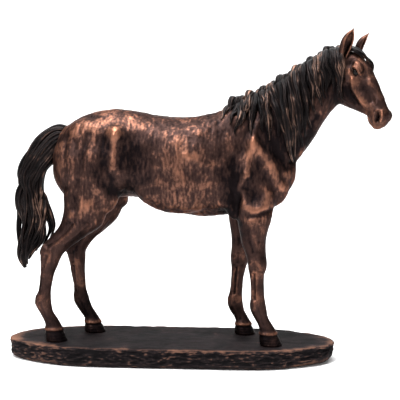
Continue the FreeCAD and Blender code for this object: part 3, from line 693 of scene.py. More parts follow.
# ------------------------------------------------------------------------------------------
# Legs. Each is cast from the joint in the thigh or the forearm down to the hoof, with the tendons,
# the joints and the coronet worked in finer clay. The hooves keep the dark stain.
LEG_STROKES = {
    "right_fore_leg": [
        ([(61, 95), (62.5, 84), (65, 74)], 1.6, -0.81), ([(70.5, 94), (70, 82)], 1.6, -0.68),
        ([(65.8, 56), (66.2, 46), (66.4, 37)], 0.9, -1.01), ([(64, 53), (64, 38)], 0.9, 0.41),
        ([(69.4, 72), (70.5, 60)], 1.5, 0.61), ([(66, 67), (66.2, 60)], 1.4, -0.61),
        ([(63, 64), (62.5, 60)], 1.3, 0.68), ([(66, 34), (65.5, 28)], 1.4, 0.47),
        ([(69, 30), (71.2, 24), (73, 17)], 1.3, -0.34),
    ],
    "left_fore_leg": [
        ([(52, 93), (52.5, 82), (52.8, 74)], 1.6, -0.81), ([(60, 92), (59, 82)], 1.6, -0.68),
        ([(50.6, 54), (49.8, 44), (49, 34)], 0.9, -1.01), ([(48.8, 51), (47, 36)], 0.9, 0.41),
        ([(55.8, 70), (56, 58)], 1.5, 0.61), ([(52.2, 66), (51.8, 59)], 1.4, -0.61),
        ([(48.8, 62), (48.2, 58)], 1.3, 0.68), ([(47.6, 30), (47, 24)], 1.4, 0.47),
        ([(50, 26), (52.2, 20), (54, 13)], 1.3, -0.34),
    ],
    "right_hind_leg": [
        ([(-72, 96), (-79, 87), (-87, 80), (-94, 76)], 1.6, -0.94),
        ([(-62, 94), (-70, 86), (-80, 78)], 1.6, 0.61), ([(-97.5, 76), (-99.8, 70)], 1.5, 0.81),
        ([(-94.5, 68), (-97, 60)], 1.4, -0.81), ([(-90.5, 72), (-92, 64)], 1.6, 0.54),
        ([(-98.4, 58), (-99.8, 48), (-101.2, 38)], 0.9, -1.01),
        ([(-100.6, 56), (-103, 38)], 0.9, 0.41), ([(-103.2, 36), (-103.5, 30)], 1.4, 0.47),
        ([(-100, 31), (-97.6, 25), (-95.4, 18)], 1.3, -0.34),
    ],
    "left_hind_leg": [
        ([(-61, 94), (-67, 84), (-74, 76), (-80, 72)], 1.6, -0.94),
        ([(-51, 92), (-58, 83), (-66, 74)], 1.6, 0.61), ([(-83, 72), (-84, 66)], 1.5, 0.81),
        ([(-79, 66), (-79.6, 58)], 1.4, -0.81), ([(-74, 69), (-74.6, 60)], 1.6, 0.54),
        ([(-79.2, 54), (-78.6, 44), (-77.8, 34)], 0.9, -1.01),
        ([(-81.4, 52), (-80.4, 36)], 0.9, 0.41), ([(-79, 31), (-78, 25)], 1.4, 0.47),
        ([(-75, 27), (-72, 21), (-69, 14)], 1.3, -0.34),
    ],
}
CORONET_Z = {"right_fore_leg": 10, "left_fore_leg": 8.6, "right_hind_leg": 10, "left_hind_leg": 8.8}
for name, leg in leg_castings.items():
    apply_modifier(leg, "SUBSURF", levels=1, subdivision_type="SIMPLE")
    leg_clay = Clay(leg)
    leg_clay.stroke_flanks(LEG_STROKES[name], 1.5)
    coronet = CORONET_Z[name]
    heights = leg_clay.points[:, 2]
    ring = np.exp(-((heights - coronet) / 1.1) ** 2) * 0.55
    ring -= np.exp(-((heights - coronet + 2.2) / 0.9) ** 2) * 0.45
    ring -= 0.12 * np.sin(heights * 3.1) * (heights < coronet - 2.5) * (heights > 0.6)
    level = leg_clay.normals.copy()
    level[:, 2] = 0
    leg_clay.points += level * ring[:, None]
    leg_clay.points[:, 2] = leg_clay.points[:, 2].clip(0, None)
    leg_clay.refresh()
    leg_clay.paint += np.exp(-((heights - coronet - 0.5) / 1.8) ** 2)
    leg_clay.paint -= (heights < coronet - 1.5) * 0.5
    clear = ((LEG_SAWS[name][0][2] - 1.5 - leg_clay.points[:, 2]) / 4).clip(0, 1)
    leg_clay.soften(2, clear)
    leg_clay.close(4, clear)
    finish_piece(leg, name, coat)

# ------------------------------------------------------------------------------------------
# Head, cast from the joint behind the jaw, with glossy black enamelled eyes set under the lids.
# Its strokes are set out along its own axes: distance down the face, and out from the face's line.
apply_modifier(head, "SUBSURF", levels=1, subdivision_type="SIMPLE")
head_clay = Clay(head, POLL, DOWN_FACE, OFF_FACE, -TO_RIGHT)
EYE_DOWN, EYE_OFF, EYE_OUT, EYE_RADIUS = 19.5, -0.6, 7.1, 3.0
HEAD_STROKES = [
    ([(19.5, -0.6)], 3.6, -1.95), ([(12, -1.5)], 3.4, -1.17),                 # socket, temple
    ([(15.2, -0.2), (17, 2.0), (20, 3.0), (23, 2.0)], 1.1, 1.17),            # brow
    ([(15.6, -3.6), (19, -5.0), (23, -4.0)], 1.1, 0.72),                    # lower lid
    ([(24, -5.0), (30, -7.4), (38, -7.2), (43, -6.4)], 1.6, 1.23),          # cheek bone
    ([(27, 0.5), (35, 0.2), (44, 0.6)], 2.4, -1.04),                         # hollow of the nose
    ([(26, -11), (33, -13.5), (40, -11.5)], 2.6, -1.17),                     # hollow of the cheek
    ([(45, -10.5), (50, -7.5)], 2, -0.65), ([(30, 5), (46, 5)], 1.6, 0.59),
    ([(9, -13), (14, -8), (22, -9)], 2, 0.65),
    ([(6, -12), (10, -22), (18, -29), (26, -29)], 1.8, -0.78),               # edge of the jowl
    ([(13, -12), (18, -20), (25, -24)], 3.5, 0.91),
    ([(54.6, 1.4), (57.5, 0.2), (59.4, -2.4)], 1.25, -2.73),                 # nostril
    ([(52.8, 0.6), (54.8, 3.4), (58.6, 2.6), (61, -0.6)], 1, 0.85),
    ([(53.6, -2.0), (57, -4.2), (60, -4.6)], 1, 0.65),
    ([(63.8, -6.8), (58, -7.8), (51, -9.0)], 0.7, -1.17),                    # mouth
    ([(62, -5.6), (56, -6.2)], 1, 0.52), ([(60, -9.2), (54, -10)], 1, 0.45),
    ([(50.5, -12.5)], 1.6, -0.78),
    ([(33, -18), (42, -13)], 1.4, 0.65), ([(40, 3), (48, 2.6)], 1.2, 0.39),
]
head_clay.stroke_flanks(HEAD_STROKES, 1.3)
head_clay.refresh()
HEAD_RUBBED = [
    ([(24, -5), (43, -6.4)], 2.4, 0.9), ([(15, -8), (20, -20)], 4, 0.5),
    ([(10, 4), (44, 7)], 2.5, 0.45), ([(15, 0), (23, 2.4)], 1.3, 0.8),
    ([(16, -4), (23, -4.4)], 1.2, 0.7), ([(56, 3), (61, 0)], 2, 0.9),
    ([(52, -10), (61, -9)], 2, 0.4), ([(57.5, 0), (59, -2)], 1.6, -1.6), ([(12, -1.5)], 3, -0.6),
    ([(30, 0), (44, 0)], 2.6, -0.3), ([(28, -12), (40, -11)], 3, -0.5),
    ([(60, -7.4), (52, -8.8)], 0.8, -0.9),
]
head_clay.tint_flanks(HEAD_RUBBED)
beyond_cut = (head_clay.points - np.array(HEAD_AT)) @ np.array(HEAD_OUT)
clear = ((beyond_cut - 1.5) / 4).clip(0, 1)
head_clay.soften(2, clear)
head_clay.close(4, clear)

enamel, shader, add, join_to = graph("eye_enamel")
veins = texture_noise(add, (1, 1, 1), 700, 3)
join_to(blend_colours(add, veins, (0.001, 0.001, 0.001, 1), (0.006, 0.004, 0.003, 1)), "Base Color")
join_to(stretch_range(add, veins, 0.2, 0.8, 0.14, 0.26), "Roughness")
shader.inputs["Specular IOR Level"].default_value = 0.12
head.data.materials.clear()
head.data.materials.append(coat)
eyes = []
for side in (-1, 1):
    bpy.ops.mesh.primitive_uv_sphere_add(segments=40, ring_count=24, radius=EYE_RADIUS)
    eye = bpy.context.object
    eye.data.transform(Matrix.Translation(on_head(EYE_DOWN, EYE_OFF, -side * EYE_OUT)))
    eye.data.materials.append(enamel)
    eye.select_set(False)
    eyes.append(eye)
join([head, *eyes], "head_casting")
set_down(head)
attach(head, "root")
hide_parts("head")

# ------------------------------------------------------------------------------------------
# Ears. Leaf-shaped points, cupped forwards and bonded to the poll; the edges are rubbed bright.
def ear_leaf(name, node, base, tip, radius, turn):
    base, tip = Vector(base), Vector(tip)
    axis = (tip - base).normalized()
    forward, _, side = axes_at(0, turn)
    forward = (forward - axis * forward.dot(axis)).normalized()
    side = axis.cross(forward)
    across, up = 28, 22
    points, faces, bright = [], [], []
    for j in range(up + 1):
        v = j / up
        swell = radius * (0.62 + 0.9 * v - 1.5 * v ** 3) * (1 - v ** 9)
        centre = base + (tip - base) * v + forward * (1.6 * v ** 2 - 1.2 * math.sin(math.pi * v))
        for i in range(across + 1):
            u = 2 * i / across - 1
            a = u * math.radians(150 - 40 * v)
            rim = swell * (1 - 0.12 * abs(u) ** 3)
            points.append(centre - forward * rim * math.cos(a) * 0.85 + side * rim * math.sin(a))
            bright.append(0.9 * abs(u) ** 4 + 0.6 * v ** 4 - 0.1)
    for j in range(up):
        for i in range(across):
            a = j * (across + 1) + i
            faces.append((a, a + 1, a + across + 2, a + across + 1))
    leaf = mesh_object(name, points, faces)
    layer = leaf.data.attributes.new("rub_and_painted_light", "FLOAT", "POINT")
    layer.data.foreach_set("value", bright)
    apply_modifier(leaf, "SOLIDIFY", thickness=0.95, offset=0.4)
    apply_modifier(leaf, "SUBSURF", levels=1)
    finish_piece(leaf, node, coat)


ear_leaf("right_ear_casting", "right_ear", (131.0, -12.5, 221.4), (138.0, -14.5, 242.6), 5.3, -62)
ear_leaf("left_ear_casting", "left_ear", (141.8, -0.8, 221), (149.6, 0.4, 239.2), 4.3, -20)

# ------------------------------------------------------------------------------------------
# Hair. The mane, forelock and tail are castings of their own, modelled as overlapping locks of
# coarse strands and stained nearly black. The mane hangs on the horse's right side only.
def hair_patina(name, copper_amount):
    material, shader, add, join_to = graph(name)
    ridge = add("ShaderNodeAttribute", attribute_name="wear").outputs["Fac"]
    rub_and_painted_light = add("ShaderNodeAttribute", attribute_name="rub_and_painted_light").outputs["Fac"]
    clouds = texture_noise(add, (1, 1, 1), 120, 4)
    fine = texture_noise(add, (1, 1, 1), 1900, 4)
    # The strand crests are lightened: partly copper dry-brush, partly a painted highlight along each
    # crest.
    tone = total(add, (ridge, 0.95), stretch_range(add, clouds, 0.3, 0.7, -0.5, 0.4), (rub_and_painted_light, 0.8))
    dark = blend_colours(add, stretch_range(add, tone, -0.3, 0.7), (0.0022, 0.0018, 0.002, 1),
                         (0.014, 0.0095, 0.0088, 1))
    crest_copper_and_highlight = sums(add, "MULTIPLY", stretch_range(add, tone, 0.6, 1.5), copper_amount)
    join_to(blend_colours(add, crest_copper_and_highlight, dark, (0.5, 0.28, 0.2, 1)), "Base Color")
    join_to(stretch_range(add, fine, 0.2, 0.8, 0.28, 0.46), "Roughness")
    bumped(add, join_to, fine, 0.25, 0.0003)
    shader.inputs["Metallic"].default_value = 0.55
    shader.inputs["Specular IOR Level"].default_value = 0.08
    return material


hair = hair_patina("hair_patina", 0.5)
body_tree = BVHTree.FromPolygons([tuple(p) for p in body.points], body_faces)


def curve_through(points, count):
    """Points eased along a path, evenly spread, as an array."""
    rows = np.array(eased([tuple(p) for p in points], 12))
    gaps = np.concatenate([[0], np.cumsum(np.linalg.norm(np.diff(rows[:, :3], axis=0), axis=1))])
    spots = np.linspace(0, gaps[-1], count)
    return np.stack([np.interp(spots, gaps, rows[:, k]) for k in range(rows.shape[1])], axis=1)


def unit(rows):
    return rows / np.linalg.norm(rows, axis=1)[:, None]


def relaxed(rows, times):
    """The rows of a path averaged with their neighbours, with both ends left in place."""
    for _ in range(times):
        rows[1:-1] = (rows[:-2] + rows[1:-1] * 2 + rows[2:]) / 4
    return rows


def lock_mesh(path, outward, width, thick, strands, twist, rng, tip=0.12, fade=2.6):
    """One lock: a tapering, twisting bundle whose strands stand out as ridges."""
    count, around = len(path), strands * 6
    tangents = unit(np.gradient(path, axis=0))
    outward = unit(outward - (outward * tangents).sum(1)[:, None] * tangents)
    across = np.cross(tangents, outward)
    angles = 2 * np.pi * np.arange(around) / around
    phases = rng.uniform(0, 6.28, 3)
    points, ridges = [], []
    for i in range(count):
        v = i / (count - 1)
        swell = (0.62 + 0.38 * math.sin(math.pi * min(1, v * 1.25 + 0.1))) * (1 - v ** fade) + tip * v
        swell *= min(1, 0.35 + v * 9)
        turn = twist * v + phases[0]
        ridge = np.abs(np.cos(strands / 2 * angles + turn)) ** 0.7
        slow = np.cos(2 * angles + turn * 0.7 + phases[1])
        size = swell * (0.74 + 0.26 * ridge + 0.1 * slow)
        ring = (path[i] + across[i] * (width * size * np.cos(angles))[:, None]
                + outward[i] * (thick * size * np.sin(angles))[:, None])
        points.append(ring)
        # crest values that later lighten the hair colour: partly dry-brush, partly a painted highlight
        # along each strand
        ridges.append((ridge * 1.6 - 0.95) + 0.3 * slow)
    points = np.concatenate(points)
    ridges = np.concatenate(ridges)
    return points, tube_faces(count, around), ridges


def bundle(name, node, locks, rub_and_painted_light_of):
    """All the locks of one casting joined into one piece."""
    points, faces, ridges, start = [], [], [], 0
    for lock_points, lock_faces, lock_ridges in locks:
        points.append(lock_points)
        ridges.append(lock_ridges)
        faces += [tuple(v + start for v in face) for face in lock_faces]
        start += len(lock_points)
    points, ridges = np.concatenate(points), np.concatenate(ridges)
    piece = mesh_object(name, points, faces)
    for layer_name, values in (("wear", ridges), ("rub_and_painted_light", rub_and_painted_light_of(points))):
        layer = piece.data.attributes.new(layer_name, "FLOAT", "POINT")
        layer.data.foreach_set("value", values.astype(np.float32))
    finish_piece(piece, node, hair)
    return piece


def crest_y(x):
    """Where the crest lies sideways as the neck turns towards the right."""
    return -0.0028 * max(0, x - 92) ** 1.5


def laid_on_neck(x, z, lift):
    """The spot on the horse's right side that shows at x and z, and the way out from it."""
    hit, normal, _, _ = body_tree.ray_cast(Vector((x, -90, z)), Vector((0, 1, 0)))
    if hit is None or normal.y > -0.12:
        hit, normal, _, _ = body_tree.find_nearest(Vector((x, crest_y(x) - 2, z)))
        spot = Vector((x, hit.y, z)) if z > hit.z else hit
        return spot + normal * lift * 0.4, normal
    return hit + normal * lift, normal


rng = np.random.default_rng(7)
# Each lock of the mane: root, bend and tip seen from the side, its width and its lift.
MANE_LOCKS = [
    ((52, 183.5), (45, 181), (39, 173), 3.2, 1.4), ((55, 186), (51, 179), (46, 170), 3.4, 1.6),
    ((56, 189), (54, 178), (51.5, 163), 3.4, 2.2), ((62, 190.5), (59, 180), (53, 169), 3.2, 3.2),
    ((66, 192), (64, 180), (62, 162), 3.6, 2.0), ((70, 194), (71, 183), (71.5, 165), 3.6, 2.8),
    ((74, 196.5), (74, 184), (76, 158), 3.8, 1.8), ((78, 199), (82, 184), (84.5, 162), 3.8, 3.4),
    ((82, 201.5), (85, 180), (90, 150), 4.0, 2.0), ((86, 203.5), (89, 178), (93.5, 140), 4.2, 3.2),
    ((90, 206), (92, 182), (96, 146), 4.0, 1.8), ((94, 209), (97, 186), (100.5, 153), 4.0, 3.0),
    ((98, 212), (100, 190), (103.5, 161), 4.0, 1.8),
    ((102, 214.5), (103.5, 194), (107, 168), 3.8, 3.2),
    ((106, 217), (108, 200), (110.5, 179), 3.8, 1.9),
    ((110, 219.5), (112, 203), (114.5, 184), 3.8, 3.0),
    ((114, 222), (115, 206), (118.2, 190), 3.6, 1.8),
    ((118, 224.2), (118.5, 210), (119.5, 194), 3.6, 3.0),
    ((122, 226), (122.5, 212), (124.5, 196), 3.4, 1.9),
    ((126, 227.2), (127, 213), (128.5, 192), 3.2, 2.8),
    ((130, 227.2), (130, 214), (130.5, 188), 2.8, 2.2),
]
mane_locks = []


def mane_lock(root, bend, tip, width, lift, wave, count=56):
    flat = curve_through([root, bend, tip], count)
    sway = np.sin(np.linspace(0, rng.uniform(7, 11), count) + rng.uniform(0, 6)) * wave
    sway *= np.linspace(0.1, 1, count)
    spots, ways = [], []
    for k, (x, z) in enumerate(flat):
        v = k / (count - 1)
        rise = lift * (0.5 + 0.6 * math.sin(math.pi * min(1, v + 0.15)))
        spot, way = laid_on_neck(x + sway[k], z, rise)
        spots.append(spot)
        ways.append(way)
    spots, ways = relaxed(np.array(spots), 6), relaxed(np.array(ways), 6)
    strands = int(rng.integers(5, 8))
    mane_locks.append(lock_mesh(spots, ways, width, width * 0.62, strands, rng.uniform(-5, 5), rng))


for root, bend, tip, width, lift in MANE_LOCKS:
    mane_lock(root, bend, tip, width, lift, 1.0)
for root, bend, tip, width, lift in MANE_LOCKS[2:]:
    shift = rng.uniform(1.2, 3.0)
    short = rng.uniform(0.55, 0.95)
    end = (tip[0] + shift + rng.uniform(-2, 2), root[1] + (tip[1] - root[1]) * short)
    mane_lock((root[0] + 1.5, root[1] + 0.4), (bend[0] + shift, bend[1]), end,
              width * 0.5, lift + 1.9, 1.5)
# Tufts along the crest stand a little proud, and lean over to the right.
for k in range(22):
    x = 47 + k * 4.0 + rng.uniform(-0.8, 0.8)
    z = float(np.interp(x, [47, 53, 70, 80, 95, 108, 115, 125, 132],
                        [185, 187.5, 193, 199.5, 209, 216.3, 221.5, 226, 226.5]))
    middle = crest_y(x)
    rise = 2.4 if k % 3 == 0 else rng.uniform(0, 0.9)
    tuft = curve_through([
        (x + 3.5, middle + 2.4, z - 1.5), (x + 1.5, middle + 0.6, z + 1.2 + rise),
        (x - 0.5, middle - 3.2, z - 0.6), (x - 1.0, middle - 7, z - 8),
    ], 30)
    ways = np.tile([0.0, -0.5, 0.8], (30, 1))
    mane_locks.append(lock_mesh(tuft, ways, 3.0 + 0.3 * rise, 2.2, 6, rng.uniform(-3, 3), rng))


def mane_rub(points):
    return 0.35 * np.sin(points[:, 0] * 0.35) - 0.1


bundle("mane_casting", "mane", mane_locks, mane_rub)

# Forelock: five locks from between the ears, falling over the forehead to the far side.
forelock_locks = []
for start_right, bend_right, tip_right, long, width in (
    (1.5, -0.5, -4.5, 23, 2.6), (-1.5, -3.5, -7.5, 20, 2.6), (3.5, 2.2, 0.4, 15, 2.0),
    (0, -4, -9.0, 14, 2.2), (2.5, 0.6, -2.2, 19, 1.7),
):
    guide = curve_through([
        on_head(-4, -1, start_right), on_head(2, 6, start_right), on_head(9, 8, bend_right),
        on_head(long, 9, tip_right),
    ], 36)
    spots, ways = [], []
    for k, spot in enumerate(guide):
        hit, normal, _, _ = body_tree.find_nearest(Vector(spot))
        v = k / 35
        spots.append(hit + normal * (2.6 * math.sin(math.pi * (0.2 + 0.75 * v))))
        ways.append(normal)
    spots, ways = relaxed(np.array(spots), 5), relaxed(np.array(ways), 5)
    forelock_locks.append(lock_mesh(spots, ways, width, width * 0.7, 5, rng.uniform(-2, 2), rng))
bundle("forelock_casting", "forelock", forelock_locks, mane_rub)

# Tail: set on high, arched, then hanging in long, gentle waves, with four shorter locks in front.
TAIL_BACK = [(-78, 169), (-86, 170.5), (-94, 169), (-101.5, 163), (-108, 154), (-115.5, 141.5),
             (-118.6, 132.6), (-117.4, 125.8), (-119.9, 120), (-122.6, 107), (-120.7, 97),
             (-120.6, 80), (-119.6, 66), (-115, 56.5)]
TAIL_FRONT = [(-80, 148), (-84.5, 144), (-87.5, 139), (-90.5, 135), (-94.5, 131), (-97.7, 126.7),
              (-100, 118), (-100, 112), (-97.5, 104), (-94.5, 96), (-92.4, 89.5), (-94.5, 80),
              (-102.5, 70), (-110, 58)]
TAIL_Y = [-1, -1, -1.5, -2, -3, -4.5, -5.5, -6.5, -7.5, -8, -8.5, -9.5, -10, -10]
tail_locks = []
back = curve_through([(x, z, y) for (x, z), y in zip(TAIL_BACK, TAIL_Y)], 90)
front = curve_through([(x, z, y) for (x, z), y in zip(TAIL_FRONT, TAIL_Y)], 90)
# across (0 at the back edge, 1 at the front), depth, where it ends, width
TAIL_LOCKS = [
    (0.16, 0, 0.99, 4.2), (0.38, 0, 1.0, 4.4), (0.62, 0, 0.98, 4.4), (0.84, 0, 0.93, 3.8),
    (0.2, -4.2, 0.97, 4.0), (0.44, -5.2, 1.0, 4.2), (0.68, -5.0, 0.96, 4.0), (0.86, -3.8, 0.9, 3.4),
    (0.2, 4.2, 0.96, 4.0), (0.44, 5.2, 0.99, 4.2), (0.68, 5.0, 0.95, 4.0), (0.86, 3.8, 0.88, 3.4),
    (0.08, -2.4, 0.93, 2.6), (0.08, 2.4, 0.9, 2.6), (0.54, -8.4, 0.94, 2.7), (0.3, -7.8, 0.9, 2.5),
    (0.54, 8.2, 0.92, 2.7), (0.3, 7.6, 0.86, 2.5), (0.76, -7.4, 0.84, 2.5), (0.76, 7.2, 0.8, 2.5),
    (0.16, -6.4, 0.7, 2.0), (0.64, -8.6, 0.66, 2.0), (0.42, -9.0, 0.8, 1.8),
]
for across, depth, ends, width in TAIL_LOCKS:
    count = 96
    phase = rng.uniform(0, 1.6) + (3.1 if width < 3 else 0)
    spots, ways = [], []
    for k in range(count):
        v = k / (count - 1) * ends
        row = v * 89
        i = min(88, int(row))
        f = row - i
        outer = back[i] * (1 - f) + back[i + 1] * f
        inner = front[i] * (1 - f) + front[i + 1] * f
        u = 0.5 + (across - 0.5) * 0.8 + 0.07 * math.sin(v * 17 + phase) * min(1, v * 2)
        place = outer * (1 - u) + inner * u
        narrow = 0.55 + 0.45 * math.sin(math.pi * min(1, 0.15 + v * 0.75))
        spread = depth * narrow + math.sin(v * 16 + phase * 2) * min(1, v * 2)
        spots.append((place[0], place[2] + spread, place[1]))
        ways.append((0.15, -1.0 if depth <= 0 else 1.0, 0.1))
    tail_locks.append(lock_mesh(np.array(spots), np.array(ways), width, width * 0.8,
                                int(rng.integers(5, 8)), rng.uniform(-5, 5), rng, 0.3, 5))
FRONT_LOCKS = [
    [(-97, -9, 112), (-97.5, -12, 100), (-99, -13.5, 90), (-100.5, -13.5, 80), (-103.5, -13, 70)],
    [(-98, -9, 116), (-96, -9, 107), (-92.6, -9, 98), (-90.4, -9, 90), (-92.5, -9, 82), (-97, -9, 75)],
    [(-100, -6, 112), (-98, -5, 103), (-95, -5, 95), (-94, -5, 87), (-97, -6, 79), (-101, -7, 72)],
    [(-99, -9, 118), (-102, -12.5, 104), (-101, -13.5, 94), (-99, -12.5, 86), (-98.5, -12, 78)],
]
for bend in FRONT_LOCKS:
    spots = curve_through(bend, 50)
    tail_locks.append(lock_mesh(spots, np.tile([0.1, -1.0, 0], (50, 1)), 2.6, 2.0, 5, 3, rng))


def tail_rub_and_glint(points):
    # painted glint: a bright patch on the tail's front curve near x -99, z 100; the tail is also lighter
    # towards its end
    low = ((75 - points[:, 2]) / 20).clip(0, 1)
    glint = np.exp(-(((points[:, 0] + 99) / 6) ** 2 + ((points[:, 2] - 100) / 14) ** 2))
    return 0.5 * low + 0.9 * glint - 0.3


bundle("tail_casting", "tail", tail_locks, tail_rub_and_glint)

# ------------------------------------------------------------------------------------------
# Plinth. Cast to look like a slab of hewn rock: a smooth, slightly uneven top, chipped sides that
# round under at the ends, and an upper edge worn to copper.
low, high = (Vector(corner) * 1000 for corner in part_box("plinth"))
PLINTH_HALF_X, PLINTH_HALF_Y = high.x, high.y
PLINTH_STRAIGHT, PLINTH_END = 79, 17
EDGE_STEPS = 720
TOP_RINGS = 40
EDGE_WEAR = 1.4


def way_out(outline):
    """The direction out from the slab at each point of an outline."""
    toward = unit(np.roll(outline, -1, 0) - np.roll(outline, 1, 0))
    return np.stack([toward[:, 1], -toward[:, 0]], 1)


def plinth_outline(inset):
    """The outline of the slab as points, drawn in by a distance."""
    corner_points = [
        (PLINTH_HALF_X, -PLINTH_END), (PLINTH_HALF_X, PLINTH_END), (PLINTH_STRAIGHT, PLINTH_HALF_Y),
        (-PLINTH_STRAIGHT, PLINTH_HALF_Y), (-PLINTH_HALF_X, PLINTH_END),
        (-PLINTH_HALF_X, -PLINTH_END), (-PLINTH_STRAIGHT, -PLINTH_HALF_Y),
        (PLINTH_STRAIGHT, -PLINTH_HALF_Y),
    ]
    directions = 2 * np.pi * (np.arange(EDGE_STEPS) + 0.5) / EDGE_STEPS
    # Points are spread by angle round a stretched circle, then put out to the outline.
    spots = np.stack([np.cos(directions) * PLINTH_HALF_X, np.sin(directions) * PLINTH_HALF_Y * 1.15], 1)
    reach = np.full(EDGE_STEPS, 0.0)
    power = 14.0
    for (ax, ay), (bx, by) in zip(corner_points, corner_points[1:] + corner_points[:1]):
        nx, ny = by - ay, ax - bx
        size = math.hypot(nx, ny)
        nx, ny = nx / size, ny / size
        limit = ax * nx + ay * ny
        reach += (np.maximum(0, spots @ np.array([nx, ny])) / limit) ** power
    outline = spots / reach[:, None] ** (1 / power)
    return outline - way_out(outline) * np.asarray(inset)[..., None]


def rough(points, size, seed):
    """Soft noise at some points, for a grain of that size in millimetres."""
    return np.array([
        bpy_noise.noise(Vector((p[0] / size + seed, p[1] / size - seed, p[2] / size + 2 * seed)))
        for p in points
    ])


thick = high.z - low.z
outline = plinth_outline(0)
at_ends = ((np.abs(outline[:, 0]) - 84) / 40).clip(0, 1)
foot = 2.4 + (3.4 + 1.6 * np.sign(outline[:, 0])) * at_ends
rows = []
for t in (0.0, 0.25, 0.5, 0.75, 1.0):
    a = t * math.pi / 2
    rows.append((foot * (1 - math.sin(a)), -thick + foot * 0.8 * (1 - math.cos(a))))
for t in np.linspace(0.06, 1, 22):
    start = -thick + foot * 0.8
    rows.append((0.5 * np.sin(t * 3.1) - 0.5, start + (-1.0 - start) * t))
rows += [(0.3, -0.55), (0.75, -0.18), (EDGE_WEAR, 0)]
points = []
for inset, z in rows:
    flat = plinth_outline(inset)
    points += [(x, y, h) for (x, y), h in zip(flat, np.full(EDGE_STEPS, z))]
rim = len(rows)
for shrink in np.linspace(0.96, 0.04, TOP_RINGS):
    flat = plinth_outline(EDGE_WEAR) * shrink
    points += [(x, y, 0.0) for x, y in flat]
points = np.array(points)
rings = rim + TOP_RINGS
ring_of = np.repeat(np.arange(rings), EDGE_STEPS)
away = np.tile(way_out(outline), (rings, 1))
side_share = np.interp(ring_of, [0, 3, 8, rim - 4, rim - 1, rim + 2], [0, 0.5, 1, 1, 0.7, 0])
chips = -np.abs(rough(points * (1, 1, 3.0), 12, 3.1)) * 1.6 + rough(points * (1, 1, 3.4), 4.2, 8.2) * 0.8
chips += rough(points, 26, 1.7) * 0.8 + rough(points * (1, 1, 2.0), 1.7, 2.9) * 0.35
points[:, :2] += away * (side_share * (chips + 0.1).clip(-1.6, 0.5))[:, None]
wave = np.interp(ring_of, [rim - 6, rim - 2, rim + 3], [0, 1, 0])
points[:, 2] += wave * (rough(points, 11, 5.5) * 0.7 - 0.35)
top_share = np.interp(ring_of, [rim - 1, rim + 3], [0, 1])
undulation = rough(points, 17, 9.3) * 0.5 + rough(points, 6, 4.4) * 0.14
feet = np.array([stations[-1][:2] for stations in LEGS.values()])
near_feet = np.min(np.linalg.norm(points[:, None, :2] - feet, axis=2), axis=1)
flatness = ((near_feet - 9) / 6).clip(0, 1)
points[:, 2] += top_share * flatness * (undulation - 0.12).clip(-0.7, 0.35)
plinth = mesh_object("plinth_casting", points, tube_faces(rings, EDGE_STEPS))
edge_rub = np.interp(ring_of, [rim - 6, rim - 3, rim - 1, rim + 1, rim + 3], [-0.2, 0.2, 0.8, 0.4, -0.4])
edge_rub += side_share * (chips + 0.1).clip(-0.7, 0.8)
plinth_clay = Clay(plinth)
plinth_clay.paint = edge_rub
plinth_clay.close(3)
stone_coat = patinated("plinth_patina", (0.005, 0.0045, 0.005), (0.022, 0.016, 0.0165),
                       (0.32, 0.15, 0.09), 0.6, 0.7, metal=0.1, gloss=0.07, streak=(0.3, 0.3, 1))
finish_piece(plinth, "plinth", stone_coat)

# ------------------------------------------------------------------------------------------
# Felt. A sheet of pressed wool stuck underneath, cut a little inside the slab's edge.
felt_low, felt_high = (Vector(corner) * 1000 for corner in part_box("felt"))
felt_top = felt_high.z - GROUND * 1000
felt_thick = felt_high.z - felt_low.z
# Each ring: how far in from the slab's edge, how much it is shrunk, and its share of the thickness.
felt_rings = [
    (20, 0.3, 0), (6.0, 1, 0), (5.3, 1, 0.075), (5.0, 1, 0.375), (5.0, 1, 0.6875), (5.3, 1, 1),
    (6.0, 1, 1), (20, 0.3, 1),
]
turns = np.arange(EDGE_STEPS)
fuzz = 1 + 0.0012 * np.sin(turns * 1.7) * np.sin(turns * 0.37)
points = []
for inset, shrink, share in felt_rings:
    flat = plinth_outline(inset) * shrink * fuzz[:, None]
    points += [(x, y, felt_top - felt_thick + share * felt_thick) for x, y in flat]
felt = mesh_object("felt_sheet", points, tube_faces(len(felt_rings), EDGE_STEPS))
wool, shader, add, join_to = graph("pressed_wool")
fibres = texture_noise(add, (1, 1, 1), 2200, 8, 0.7, 1.5)
join_to(blend_colours(add, fibres, (0.012, 0.012, 0.013, 1), (0.05, 0.048, 0.046, 1)), "Base Color")
bumped(add, join_to, fibres, 0.8, 0.0004)
shader.inputs["Roughness"].default_value = 0.95
shader.inputs["Sheen Weight"].default_value = 0.4
finish_piece(felt, "felt", wool)

# ------------------------------------------------------------------------------------------
# Screws, washers and dowels, carried over as they are: zinc-plated steel with turning marks.
steel, shader, add, join_to = graph("plated_steel")
turning = texture_noise(add, (1, 1, 12), 900, 4, 0.6)
stain = texture_noise(add, (1, 1, 1), 300, 4)
join_to(blend_colours(add, stain, (0.42, 0.42, 0.41, 1), (0.62, 0.62, 0.6, 1)), "Base Color")
join_to(stretch_range(add, turning, 0.2, 0.8, 0.24, 0.42), "Roughness")
bumped(add, join_to, turning, 0.15, 0.0002)
shader.inputs["Metallic"].default_value = 1.0
for node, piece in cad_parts.items():
    if node.endswith(("_screw", "_washer")) or "dowel" in node:
        piece.data.materials.clear()
        piece.data.materials.append(steel)

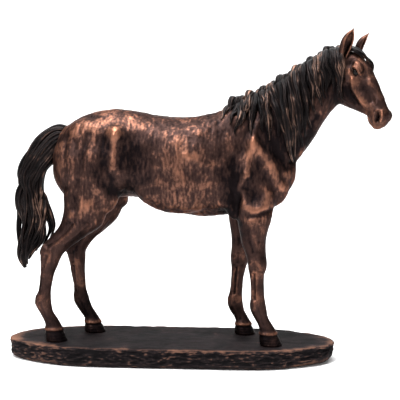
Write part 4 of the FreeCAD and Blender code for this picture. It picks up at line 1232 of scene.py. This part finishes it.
# ------------------------------------------------------------------------------------------
# The studio: a plain pale floor and wall in one, soft boxes above and to the sides, and the camera.
sweep, steps = [(-3.0, 0.0), (1.2, 0.0)], 16
for k in range(1, steps + 1):
    a = k / steps * math.pi / 2
    sweep.append((1.2 + 0.8 * math.sin(a), 0.8 - 0.8 * math.cos(a)))
sweep.append((2.0, 3.5))
points = [(x, y, z) for y, z in sweep for x in (-4.0, 4.0)]
faces = [(2 * k, 2 * k + 1, 2 * k + 3, 2 * k + 2) for k in range(len(sweep) - 1)]
floor = mesh_object("studio_floor", points, faces)
paper, shader, add, join_to = graph("studio_paper")
shader.inputs["Base Color"].default_value = (0.92, 0.92, 0.92, 1)
shader.inputs["Roughness"].default_value = 0.9
floor.data.materials.append(paper)

world = bpy.data.worlds.new("studio")
world.use_nodes = True
world.node_tree.nodes["Background"].inputs["Color"].default_value = (1, 1, 1, 1)
world.node_tree.nodes["Background"].inputs["Strength"].default_value = 0.1
bpy.context.scene.world = world
bpy.context.scene.view_settings.view_transform = "Standard"


def soft_box(name, place, target, width, height, power):
    light = bpy.data.lights.new(name, "AREA")
    light.shape = "RECTANGLE"
    light.size, light.size_y = width, height
    light.energy = power
    lamp = bpy.data.objects.new(name, light)
    lamp.location = place
    lamp.rotation_euler = (Vector(target) - Vector(place)).to_track_quat("-Z", "Y").to_euler()
    bpy.context.collection.objects.link(lamp)


soft_box("overhead", (-0.15, -0.25, 1.0), (0, 0, 0.14), 0.5, 0.4, 18)
soft_box("key", (-0.55, -0.9, 0.75), (0, 0, 0.13), 0.3, 0.3, 10)
soft_box("front_right", (0.9, -1.0, 0.6), (0, 0, 0.13), 0.3, 0.4, 3.5)
soft_box("wall_wash", (0, 0.7, 2.2), (0, 2.0, 0.6), 3.0, 0.6, 52)
soft_box("floor_wash", (0, 0.6, 1.8), (0, 0.9, 0), 2.6, 0.8, 24)

camera_data = bpy.data.cameras.new("camera")
camera_data.lens = 116
camera_data.sensor_width = 36
camera = bpy.data.objects.new("camera", camera_data)
bpy.context.collection.objects.link(camera)
aim = Vector((0.0228, 0, 0.1249))
azimuth, lift, distance = math.radians(4.5), math.radians(8), 1.0
camera.location = aim + distance * Vector((
    math.sin(azimuth) * math.cos(lift), -math.cos(azimuth) * math.cos(lift), math.sin(lift)
))
camera.rotation_euler = (aim - camera.location).to_track_quat("-Z", "Y").to_euler()
bpy.context.scene.camera = camera
